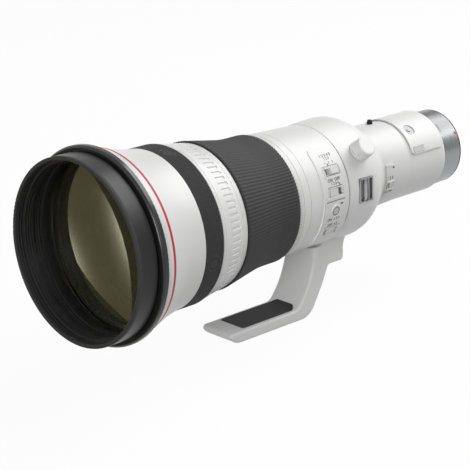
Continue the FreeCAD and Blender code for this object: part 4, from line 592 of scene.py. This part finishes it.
def smooth_line(points, per_span):
    """Points along a smooth curve through the given ones."""
    line = []
    for number, (start, end) in enumerate(zip(points, points[1:])):
        start, end = Vector(start), Vector(end)
        before = Vector(points[number - 1]) if number else start * 2 - end
        after = Vector(points[number + 2]) if number + 2 < len(points) else end * 2 - start
        first_pull = start + (end - before) / 6
        second_pull = end - (after - start) / 6
        for step in range(per_span):
            share = step / per_span
            rest = 1 - share
            line.append(start * rest ** 3 + first_pull * 3 * rest ** 2 * share
                        + second_pull * 3 * rest * share ** 2 + end * share ** 3)
    line.append(Vector(points[-1]))
    return [(point.x, point.y) for point in line]


def angle_of(point):
    """Angle round the lens in radians."""
    return math.atan2(point.x, point.z)


def radius_of(point):
    return math.hypot(point.x, point.z)


def in_even_part(angle, parts):
    """Whether an angle lies in an even one of the equal parts of a full turn."""
    pitch = FULL_TURN / parts
    return int((angle % FULL_TURN) / pitch) % 2 == 0


def new_object(name, data):
    """Object in the scene with the given data."""
    item = bpy.data.objects.new(name, data)
    bpy.context.scene.collection.objects.link(item)
    return item


def mesh_object(name, bm, material):
    mesh = bpy.data.meshes.new(name)
    bm.to_mesh(mesh)
    bm.free()
    mesh.materials.append(material)
    return new_object(name, mesh)


def aim(item, direction, front="-Z"):
    """Turn an object so that its front axis points along a direction."""
    item.rotation_mode = "QUATERNION"
    item.rotation_quaternion = direction.to_track_quat(front, "Y")


def shade(bm, limit):
    """Smooth faces, with edges sharp where they turn by more than a limit in degrees."""
    for face in bm.faces:
        face.smooth = True
    for edge in bm.edges:
        edge.smooth = edge.calc_face_angle(0.0) < math.radians(limit)


def add_piece(name, bm, slot, body, limit=30.0, material=None):
    """Turn a bmesh into a finished piece that rides on a body."""
    bmesh.ops.remove_doubles(bm, verts=bm.verts, dist=MERGE_DISTANCE)
    shade(bm, limit)
    piece = mesh_object(name, bm, FINISHES[material or slot])
    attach(piece, body)
    return piece


# Operators

class LENS_OT_stage(bpy.types.Operator):
    """Camera, lamps, white floor and backdrop"""

    bl_idname = "lens.stage"
    bl_label = "Studio"

    def execute(self, context):
        scene = context.scene
        scene.view_settings.view_transform = "Standard"
        self.add_camera(scene)
        self.add_lamp("Key softbox", (0.28, 0.91, 1.21), 1.3, 25.0)
        self.add_lamp("Side softbox", (1.7, -0.4, 0.8), 1.0, 4.0)
        self.add_lamp("Fill softbox", (0.7, -2.0, 0.3), 0.7, 14.0)
        self.add_floor()
        self.add_painted_reflection()
        self.add_flag("Left flag", (-0.56, 0.63, 0.45), 0.45, 0.3)
        self.add_flag("Right flag", (0.76, 0.63, 0.18), 0.5, 0.3)
        self.add_flag("Rear card", (0.065, 0.19, 0.28), 0.26, 1.5)
        self.light_world(scene)
        return {"FINISHED"}

    @staticmethod
    def add_camera(scene):
        """Camera fitted to the photograph."""
        data = bpy.data.cameras.new("Camera")
        data.lens = 139.13
        data.sensor_width = 36.0
        data.clip_end = 50.0
        camera = new_object("Camera", data)
        camera.location = (1.03275, -1.27179, 0.46656)
        back = Vector((0.67527, -0.66337, 0.32243))
        aim(camera, -back)
        scene.camera = camera

    @staticmethod
    def add_lamp(name, place, size, power):
        """Square softbox that faces the front half of the lens."""
        data = bpy.data.lights.new(name, "AREA")
        data.shape = "SQUARE"
        data.size = size
        data.energy = power
        lamp = new_object(name, data)
        lamp.location = place
        aim(lamp, Vector((0.0, -0.25, 0.0)) - Vector(place))

    @staticmethod
    def seen(finish):
        """Whether the ray is the camera's own, and whether it is that, a reflection or through glass."""
        path = finish.tree.nodes.new("ShaderNodeLightPath")
        camera = Wire(finish, path.outputs["Is Camera Ray"])
        glossy = Wire(finish, path.outputs["Is Glossy Ray"])
        clear = Wire(finish, path.outputs["Is Transmission Ray"])
        return camera, camera.largest(glossy).largest(clear)

    @staticmethod
    def add_card(name, size, finish):
        """Flat card of the studio, not yet in its place."""
        bm = bmesh.new()
        bmesh.ops.create_grid(bm, x_segments=1, y_segments=1, size=size / 2)
        card = mesh_object(name, bm, finish.owner)
        return card

    @staticmethod
    def only_reflected(card):
        """Leave a card to reflections and to what glass shows: it neither lights nor shades the rest."""
        card.visible_camera = False
        card.visible_diffuse = False
        card.visible_shadow = False

    def add_floor(self):
        """Floor that looks white, keeps the lens's shadow and bounces little light."""
        finish = Finish.named("White floor")
        camera, seen = self.seen(finish)
        near = finish.mixed(finish.noise(60.0), opaque(WHITE, 0.88), opaque(WHITE, 0.92))
        tint = finish.mixed(camera, opaque(WHITE, 0.33), near)
        lit = finish.node("ShaderNodeBsdfDiffuse", None, {"Color": tint})
        mix = finish.node("ShaderNodeMixShader", None, {0: seen * 0.95, 1: lit, 2: finish.light(WHITE)})
        finish.shown(mix)
        floor = self.add_card("Floor", 16.0, finish)
        floor.location = (0.0, 0.0, FLOOR_LEVEL)

    @staticmethod
    def painted_rim_line(finish, depth, middle, direction, reach):
        """Painted rim highlight: a thin bright line where a depth is zero, fading along a direction away
        from its middle.
        """
        x, y, z = finish.axes()
        along = ((x - middle[0]) * direction[0] + (y - middle[1]) * direction[1]) / reach
        return depth.largest(0.0).fading(0.005) * (along * along).fading(1.0)

    def add_painted_reflection(self):
        """Glowing card in front of the lens, seen only in its glass, with a painted reflection: brighter
        where two circles cross, with painted highlights along their edges.
        """
        finish = Finish.named("Painted reflection card")
        # Painted reflection: the card glows brighter where these two circles cross, so the front glass
        # shows a lit leaf
        right = 1.797 - finish.from_point(-1.309, 0.808)
        left = 0.858 - finish.from_point(0.187, -1.319)
        inside = (right > 0.0) * (left > 0.0)
        plain = 0.14 + inside * 0.28
        # Painted highlights along both circles' edges, for the bright rims in the front glass
        edges = inside * (self.painted_rim_line(finish, left, (-0.269, -0.597), (0.807, 0.590), 0.075)
                          + self.painted_rim_line(finish, right, (-0.270, -0.650), (0.863, 0.505), 0.10))
        reflection_pattern = finish.node("ShaderNodeCombineColor", None, {
            0: plain + edges * 3.0, 1: plain * 0.92 + edges * 3.0, 2: plain * 0.5 + edges * 2.3})
        finish.shown(finish.light(reflection_pattern))
        reflection_card = self.add_card("Painted reflection card", 0.9, finish)
        for vert in reflection_card.data.vertices:
            vert.co += Vector((-0.3, -0.9, FLOOR_LEVEL + 0.05 * MM))
        self.only_reflected(reflection_card)

    def add_flag(self, name, place, size, grey):
        """Shining card behind the lens, seen only in its bright metal and glass."""
        finish = Finish.named(name)
        finish.shown(finish.light(opaque(WHITE, grey)))
        flag = self.add_card(name, size, finish)
        flag.location = place
        aim(flag, -Vector(place), "Z")
        self.only_reflected(flag)

    def light_world(self, scene):
        """World that looks white and lights the lens weakly."""
        world = bpy.data.worlds.new("White studio")
        scene.world = world
        finish = Finish(world)
        ambient = finish.light(WHITE, 0.25, "ShaderNodeBackground")
        white = finish.light(WHITE, 1.0, "ShaderNodeBackground")
        camera, seen = self.seen(finish)
        mix = finish.node("ShaderNodeMixShader", None, {0: seen, 1: ambient, 2: white})
        finish.shown(mix, "ShaderNodeOutputWorld")


class LENS_OT_finishes(bpy.types.Operator):
    """Give every CAD piece the finish of its slot"""

    bl_idname = "lens.finishes"
    bl_label = "Finishes"

    def execute(self, context):
        FINISHES.update(make_finishes(context.scene.lens_colours))
        for entry in frame["record"]["subparts"]:
            mesh = frame["nodes"][entry["node"]].data
            mesh.materials.clear()
            name = entry["node"] if entry["node"] in FINISHES else entry["material_slot"]
            mesh.materials.append(FINISHES[name])
        return {"FINISHED"}


class LENS_OT_front_pane(bpy.types.Operator):
    """Thin coated face in front of the front glass"""

    bl_idname = "lens.front_pane"
    bl_label = "Front coating"

    def execute(self, context):
        pane = disc(PANE_RADIUS, 0.3 * MM, 128)
        twist(pane, 90, "X")
        shift(pane, (0, PANE_PLACE, 0))
        add_piece("front_coating", pane, "glass", "barrel", material="front_pane")
        return {"FINISHED"}


class LENS_OT_grip_studs(bpy.types.Operator):
    """Skin of fine studs on the front grip ring, plain round the buttons, and rings on the buttons"""

    bl_idname = "lens.grip_studs"
    bl_label = "Grip ring studs"

    def execute(self, context):
        sizes = context.scene.lens_sizes
        buttons = []
        for number in range(1, 5):
            low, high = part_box("stop_button_%d" % number)
            buttons.append((low + high) / 2)
        self.add_skin(sizes, buttons)
        self.add_rims(sizes, buttons)
        self.add_rings(sizes, buttons)
        return {"FINISHED"}

    def add_skin(self, sizes, buttons):
        """Thin studded band with a hole round each button."""
        low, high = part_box("grip_ring")
        margin = 0.6 * MM
        thickness = 0.6 * MM
        front, rear = low.y + margin, high.y - margin
        outer = high.x - 0.02 * MM
        inner = outer - thickness
        spots = [front + (rear - front) * row / sizes.stud_rows for row in range(sizes.stud_rows + 1)]
        bm = turned([(y, outer) for y in spots] + [(y, inner) for y in reversed(spots)], sizes.stud_columns)
        near = [face for face in bm.faces if any(
            self.apart(face.calc_center_median(), button, outer) < sizes.button_room for button in buttons)]
        bmesh.ops.delete(bm, geom=near, context="FACES")
        for button in buttons:
            rim = [edge for edge in bm.edges if edge.is_boundary
                   and self.apart(edge.verts[0].co, button, outer) < 2 * sizes.button_room]
            bmesh.ops.bridge_loops(bm, edges=rim)
        middle = (outer + inner) / 2
        skin = [face for face in bm.faces if all(radius_of(vert.co) > middle for vert in face.verts)]
        bmesh.ops.inset_individual(bm, faces=skin, thickness=sizes.stud_flank, depth=sizes.stud_height)
        bmesh.ops.recalc_face_normals(bm, faces=bm.faces)
        add_piece("grip_studs", bm, "black_rubber", "barrel", 20.0)

    @staticmethod
    def add_rims(sizes, buttons):
        """Raised rubber rims on the grip ring."""
        low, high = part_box("grip_ring")
        rims = bmesh.new()
        for button in buttons:
            rim = hoop(5.9 * MM, 6.9 * MM, sizes.hoop_height)
            wrap(rim, high.x - 0.05 * MM, math.degrees(angle_of(button)), button.y)
            merge(rims, rim)
        add_piece("grip_button_rims", rims, "black_rubber", "barrel", 40.0, "mid_black")

    @staticmethod
    def add_rings(sizes, buttons):
        """Flat dark rings on the buttons' faces, which move with them."""
        for number, button in enumerate(buttons, 1):
            body = "stop_button_%d" % number
            angle = angle_of(button)
            out = Vector((math.sin(angle), 0.0, math.cos(angle)))
            face = max(vert.co.dot(out) for vert in frame["nodes"][body].data.vertices)
            ring = hoop(3.9 * MM, 5.6 * MM, sizes.mark_height)
            stand(ring, face, math.degrees(angle), button.y)
            add_piece(body + "_ring", ring, "black_rubber", body, material="hoop")

    @staticmethod
    def apart(point, button, radius):
        """Distance between two places on the grip ring."""
        aside = (angle_of(point) - angle_of(button) + math.pi) % FULL_TURN - math.pi
        return math.hypot(aside * radius, point.y - button.y)


class LENS_OT_red_line(bpy.types.Operator):
    """Crimson line round the front barrel"""

    bl_idname = "lens.red_line"
    bl_label = "Red line"

    def execute(self, context):
        mesh = frame["nodes"]["red_ring"].data
        low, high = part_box("red_ring")
        middle = (low.y + high.y) / 2
        front = max(radius_of(vert.co) for vert in mesh.vertices if vert.co.y < middle)
        rear = max(radius_of(vert.co) for vert in mesh.vertices if vert.co.y > middle)
        slope = (rear - front) / (high.y - low.y)
        half = context.scene.lens_sizes.line_width / 2
        proud, deep = 0.04 * MM, 0.5 * MM
        ends = [(middle + side * half, (front + rear) / 2 + side * half * slope) for side in (-1, 1)]
        outline = [(y, radius + proud) for y, radius in ends]
        outline += [(y, radius - deep) for y, radius in reversed(ends)]
        line = add_piece("red_line_band", turned(outline, 256), "red_line", "barrel")
        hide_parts("red_ring")
        return {"FINISHED"}


class LENS_OT_preset_ring(bpy.types.Operator):
    """White preset ring with finger scoops between two fine grooves"""

    bl_idname = "lens.preset_ring"
    bl_label = "Preset ring"

    def execute(self, context):
        sizes = context.scene.lens_sizes
        low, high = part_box("preset_ring")
        front, rear = low.y, high.y
        front_radius, rear_radius = high.x, 62.0 * MM
        bore = 60.0 * MM
        edge = 0.4 * MM
        half_groove = 0.3 * MM
        front_groove, rear_groove = -331.4 * MM, -308.5 * MM
        scoop_ends = (-323.8 * MM, -312.2 * MM)

        def radius_at(y):
            share = (y - front) / (rear - front)
            return front_radius + (rear_radius - front_radius) * share

        def groove(y):
            return [(y - half_groove, radius_at(y - half_groove)), (y, radius_at(y) - sizes.line_depth),
                    (y + half_groove, radius_at(y + half_groove))]

        outline = [(front, bore), (front, front_radius - edge), (front + edge, radius_at(front + edge))]
        outline += groove(front_groove)
        outline += [(y, radius_at(y)) for y in scoop_ends]
        outline += groove(rear_groove)
        outline += [(rear - edge, radius_at(rear - edge)), (rear, rear_radius - edge), (rear, bore)]
        bm = turned(outline, sizes.scoops * 2)
        scoop_middle = sum(scoop_ends) / 2
        scooped = []
        for face in bm.faces:
            centre = face.calc_center_median()
            outside = radius_of(centre) > bore + 1.0 * MM
            if outside and abs(centre.y - scoop_middle) < 1.0 * MM:
                if in_even_part(angle_of(centre), sizes.scoops * 2):
                    scooped.append(face)
        bmesh.ops.inset_individual(bm, faces=scooped, thickness=sizes.scoop_flank, depth=-sizes.scoop_depth)
        bmesh.ops.recalc_face_normals(bm, faces=bm.faces)
        ring = add_piece("preset_ring_scooped", bm, "white_paint", "preset_ring")
        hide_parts("preset_ring")
        return {"FINISHED"}


class LENS_OT_focus_rubber(bpy.types.Operator):
    """Ribbed rubber sleeve of the focus ring"""

    bl_idname = "lens.focus_rubber"
    bl_label = "Focus rubber"

    def execute(self, context):
        sizes = context.scene.lens_sizes
        low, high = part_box("focus_ring_rubber")
        length = high.y - low.y
        front_radius, rear_radius = high.x, 55.8 * MM
        drop = front_radius - rear_radius
        wall = 1.7 * MM
        edge = 0.25 * MM
        fractions = [(0.0, 1.0), (0.22, 0.66), (0.42, 0.35), (0.60, 0.10), (0.76, 0.01), (1.0, 0.0)]
        line = smooth_line([(low.y + along * length, rear_radius + share * drop)
                            for along, share in fractions], 5)
        outer = [(low.y, line[0][1] - edge), (low.y + edge, line[0][1])] + line[1:-1]
        outer += [(high.y - edge, line[-1][1]), (high.y, line[-1][1] - edge)]
        inner = [(y, radius - wall) for y, radius in (line[-1], line[len(line) // 2], line[0])]
        bm = turned(outer + inner, sizes.ribs * 4)
        self.sink_valleys(bm, sizes, line, wall, rear_radius)
        rubber = add_piece("focus_rubber_ribbed", bm, "black_rubber", "focus_ring", 60.0)
        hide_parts("focus_ring_rubber")
        return {"FINISHED"}

    def sink_valleys(self, bm, sizes, line, wall, radius):
        """Of every four lines of points, sink one in full and those beside it in part."""
        pitch = FULL_TURN / (sizes.ribs * 4)
        for place, share in ((0, 1.0), (1, 0.35), (3, 0.35)):
            sunk = []
            for vert in bm.verts:
                step = round((angle_of(vert.co) % FULL_TURN) / pitch) % 4
                outside = radius_of(vert.co) > self.line_radius(line, vert.co.y) - wall / 2
                if step == place and outside:
                    sunk.append(vert)
            factor = 1.0 - share * sizes.rib_height / radius
            bmesh.ops.scale(bm, vec=(factor, 1.0, factor), verts=sunk)

    @staticmethod
    def line_radius(line, y):
        """Radius of a (y, radius) line at one place."""
        for (start, first), (end, second) in zip(line, line[1:]):
            if start <= y <= end:
                return first + (second - first) * (y - start) / (end - start)
        return line[0][1] if y < line[0][0] else line[-1][1]


class LENS_OT_lock_knob(bpy.types.Operator):
    """Lock knob with fine ribs round its side"""

    bl_idname = "lens.lock_knob"
    bl_label = "Lock knob"

    def execute(self, context):
        sizes = context.scene.lens_sizes
        foot, height = 54.3 * MM, 11.8 * MM
        wide, narrow = 9.6 * MM, 8.8 * MM
        edge = 0.8 * MM
        place, angle = -150.5 * MM, 51.5
        outline = [(0.0, 0.0), (wide - 0.2 * MM, 0.0), (wide, 0.3 * MM), (wide, 1.4 * MM),
                   (wide - 0.5 * MM, 1.8 * MM), (narrow + 0.25 * MM, height - 2.4 * MM),
                   (narrow, height - edge), (narrow - 0.3 * edge, height - 0.3 * edge),
                   (narrow - edge, height), (narrow - 2.2 * MM, height - 0.05 * MM),
                   (0.0, height + 0.1 * MM)]
        corners = [(radius, 0.0, level) for radius, level in outline]
        bm = spun(corners, UPRIGHT, sizes.knob_ribs * 2, closed=False)
        side_low, side_high = 1.9 * MM, height - 2.5 * MM
        cut = []
        for face in bm.faces:
            centre = face.calc_center_median()
            if side_low < centre.z < side_high and centre.xy.length > narrow:
                if in_even_part(math.atan2(centre.y, centre.x), sizes.knob_ribs * 2):
                    cut.append(face)
        bmesh.ops.inset_individual(bm, faces=cut, thickness=0.12 * MM, depth=-sizes.knob_rib_depth)
        shift(bm, (0, place, foot))
        twist(bm, angle, "Y")
        knob = add_piece("lock_knob_ribbed", bm, "white_knob", "lock_knob")
        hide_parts("lock_knob")
        return {"FINISHED"}


class LENS_OT_panel_marks(bpy.types.Operator):
    """Fine frames and plain marks on the switch panels"""

    bl_idname = "lens.panel_marks"
    bl_label = "Panel marks"

    def execute(self, context):
        sizes = context.scene.lens_sizes
        self.main_panel(sizes.mark_height, sizes.frame_height)
        self.switch_floors()
        self.set_button(sizes.mark_height)
        self.rear_panel(sizes.mark_height, sizes.frame_height)
        return {"FINISHED"}

    @staticmethod
    def add_words(target, radius, thickness, words):
        """Words bent round the lens, each with its height in mm, its angle and its place in mm."""
        for text, height, angle, y in words:
            word = lettering(text, height * MM, thickness)
            wrap(word, radius, angle, y * MM)
            merge(target, word)

    @staticmethod
    def add_bars(target, radius, thickness, bars):
        """Bars bent round the lens, each with its length and width in mm, its angle and its place in mm."""
        for length, width, angle, y in bars:
            line = bar(length * MM, width * MM, thickness)
            wrap(line, radius, angle, y * MM)
            merge(target, line)

    def main_panel(self, flat, proud):
        """Print and raised lines round the three switches and the set button, with painted shadow lines
        beside the frames and a painted highlight in the raised white lines.
        """
        ink, trim, white, frames = bmesh.new(), bmesh.new(), bmesh.new(), bmesh.new()
        self.add_words(ink, PANEL_RADIUS, flat, (
            ("1 2 3 4 5", 2.7, 45.9, -190.2), ("1 2 3", 2.3, 49.2, -190.4),
            ("1    2    3", 2.0, 53.4, -189.8), ("ON  OFF", 2.7, 69.6, -190.8),
            ("1 2 3 4", 2.3, 72.9, -190.4), ("ON  1 2 3", 2.5, 106.5, -191.6),
            ("OFF  4 5", 2.5, 112.4, -191.2)))
        self.add_bars(ink, PANEL_RADIUS, flat, (
            (3.0, 1.4, 92.4, -183.9), (1.2, 2.6, 55.4, -192.0), (1.0, 2.4, 74.6, -184.8)))
        # Grey lines: a divider, and a painted shadow beside the raised line along the panel's left edge
        self.add_bars(trim, PANEL_RADIUS, flat, (
            (22.5, 1.0, 88.5, -191.3), (0.6, 42.0, 111.0, -204.6)))
        # Raised lines in a white brighter than the paint: a painted highlight
        self.add_bars(white, PANEL_RADIUS, proud, (
            (19.5, 1.3, 84.9, -191.2), (0.8, 42.0, 111.0, -205.5), (16.5, 0.6, 58.2, -190.4),
            (17.5, 0.6, 66.9, -190.6)))
        # The set button's raised rim wears the same painted highlight white
        rim = hoop(4.7 * MM, 5.6 * MM, proud)
        wrap(rim, PANEL_RADIUS, SET_BUTTON_ANGLE, PANEL_MIDDLE)
        merge(white, rim)
        for angle, y, length, width in (
                (61.4, -190.4, 18.6, 8.2), (80.2, -190.8, 17.6, 7.4), (119.8, -190.4, 18.6, 8.6)):
            step = math.degrees(width * MM / 2 / PANEL_RADIUS)
            self.add_bars(frames, PANEL_RADIUS, proud, (
                (length, 0.6, angle - step, y), (length, 0.6, angle + step, y),
                (0.5, width, angle, y - length / 2), (0.5, width, angle, y + length / 2)))
            # Painted shadows: grey lines beside each frame, all to one side, and past its rear end
            self.add_bars(trim, PANEL_RADIUS, flat, (
                (length, 0.7, angle - step - 0.7, y), (length, 0.8, angle + step - 0.7, y),
                (0.6, width, angle, y + length / 2 + 0.6)))
        add_piece("panel_highlight_lines", white, "white_paint", "barrel", material="bright_line")
        add_piece("panel_marks", ink, "black_plastic", "barrel", material="ink")
        add_piece("panel_lines", trim, "black_plastic", "barrel", material="trim")
        add_piece("panel_frames", frames, "white_paint", "barrel")

    def switch_floors(self):
        """White floors in the slots of the three switches."""
        floors = bmesh.new()
        self.add_bars(floors, SLOT_FLOOR, 0.15 * MM, [
            (18.0, 7.6, angle, PANEL_MIDDLE / MM) for angle in (61.0, 80.5, 120.0)])
        add_piece("switch_slot_floors", floors, "white_paint", "barrel")

    @staticmethod
    def set_button(flat):
        """Grey ring on the face of the set button."""
        ring = hoop(2.9 * MM, 3.9 * MM, flat)
        stand(ring, PANEL_RADIUS + 0.5 * MM, SET_BUTTON_ANGLE, PANEL_MIDDLE)
        add_piece("set_button_ring", ring, "black_plastic", "set_button", material="trim")

    def rear_panel(self, flat, proud):
        """Print and raised lines round the rear switch, the raised lines in a brighter white as a painted
        highlight.
        """
        ink, frames = bmesh.new(), bmesh.new()
        self.add_words(ink, REAR_PANEL_RADIUS, flat, (
            ("1 2 3", 2.8, 91.6, -103.6), ("ON OFF", 2.0, 111.6, -103.4)))
        self.add_bars(ink, REAR_PANEL_RADIUS, flat, (
            (2.2, 1.4, 78.4, -98.6), (0.7, 6.0, 102.6, -107.0), (0.7, 5.0, 102.6, -100.0)))
        # Raised frames in the brighter white, a painted highlight
        self.add_bars(frames, REAR_PANEL_RADIUS, proud, (
            (10.6, 0.9, 74.6, -102.6), (10.0, 0.9, 96.4, -102.6), (9.0, 0.5, 107.2, -102.6)))
        add_piece("rear_panel_marks", ink, "black_plastic", "barrel", material="ink")
        add_piece("rear_panel_frames", frames, "white_paint", "barrel", material="bright_line")


class LENS_OT_steel_fittings(bpy.types.Operator):
    """Steel frames of the strap bars and a small stud on the rear barrel"""

    bl_idname = "lens.steel_fittings"
    bl_label = "Steel fittings"

    def execute(self, context):
        self.add_lug_frames()
        self.add_stud()
        return {"FINISHED"}

    @staticmethod
    def add_lug_frames():
        """Four sides and two bars in each recess: length, width, height and the place in it, in mm."""
        low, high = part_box("strap_lugs")
        middle = (low.y + high.y) / 2
        frames = bmesh.new()
        for angle in (LUG_ANGLE, -LUG_ANGLE):
            for length, width, height, along, around in (
                    (16.4, 1.2, 0.5, 0.0, 10.4), (16.4, 1.2, 0.5, 0.0, -10.4), (1.2, 22.0, 0.5, -7.6, 0.0),
                    (1.2, 22.0, 0.9, 7.6, 0.0), (0.9, 19.6, 0.7, 3.0, 0.0), (0.7, 19.6, 0.4, -1.6, 0.0)):
                piece = slab(length * MM, width * MM, height * MM)
                soften(piece, piece.edges[:], 0.18 * MM)
                shift(piece, (along * MM, around * MM, 0))
                stand(piece, LUG_FACE, angle, middle)
                merge(frames, piece)
        add_piece("strap_lug_frames", frames, "steel", "collar_and_foot", 40.0)

    @staticmethod
    def add_stud():
        """Small dark stud on top of the rear barrel."""
        stud = bmesh.new()
        bmesh.ops.create_cone(stud, cap_ends=True, segments=32, radius1=2.8 * MM, radius2=2.0 * MM,
                              depth=3.8 * MM)
        soften(stud, [edge for edge in stud.edges if edge.calc_face_angle(0.0) > 1.0], 0.4 * MM)
        stand(stud, 38.9 * MM, -4.0, -86.0 * MM)
        add_piece("rear_barrel_stud", stud, "steel", "barrel", 40.0, "hoop")


class LENS_OT_mount_marks(bpy.types.Operator):
    """Plain bar and red index mark on the mount ring"""

    bl_idname = "lens.mount_marks"
    bl_label = "Mount marks"

    def execute(self, context):
        dark = bar(0.5 * MM, 9.0 * MM, context.scene.lens_sizes.mark_height)
        wrap(dark, MOUNT_RADIUS, 42.0, -21.0 * MM)
        add_piece("mount_bar", dark, "black_plastic", "barrel", material="ink")
        red = disc(1.5 * MM, 0.15 * MM, 24)
        wrap(red, MOUNT_RIM_RADIUS, 57.0, -3.0 * MM)
        add_piece("mount_index", red, "red_line", "barrel", material="index_red")
        return {"FINISHED"}


OPERATORS = (LENS_OT_stage, LENS_OT_finishes, LENS_OT_front_pane, LENS_OT_grip_studs, LENS_OT_red_line,
             LENS_OT_preset_ring, LENS_OT_focus_rubber, LENS_OT_lock_knob, LENS_OT_panel_marks,
             LENS_OT_steel_fittings, LENS_OT_mount_marks)


class LENS_PT_panel(bpy.types.Panel):
    """Buttons and sizes of the telephoto lens"""

    bl_idname = "LENS_PT_panel"
    bl_label = "Telephoto lens"
    bl_space_type = "VIEW_3D"
    bl_region_type = "UI"
    bl_category = "Telephoto lens"

    def draw(self, context):
        for operator in OPERATORS:
            self.layout.operator(operator.bl_idname)
        for group in (context.scene.lens_sizes, context.scene.lens_colours):
            box = self.layout.box()
            for name in group.__annotations__:
                box.prop(group, name)


CLASSES = (LensSizes, LensColours) + OPERATORS + (LENS_PT_panel,)


def register():
    for item in CLASSES:
        bpy.utils.register_class(item)
    bpy.types.Scene.lens_sizes = PointerProperty(type=LensSizes)
    bpy.types.Scene.lens_colours = PointerProperty(type=LensColours)


def unregister():
    del bpy.types.Scene.lens_colours
    del bpy.types.Scene.lens_sizes
    for item in reversed(CLASSES):
        bpy.utils.unregister_class(item)


def main():
    register()
    for operator in OPERATORS:
        group, name = operator.bl_idname.split(".")
        getattr(getattr(bpy.ops, group), name)()


if __name__ == "__main__":
    main()
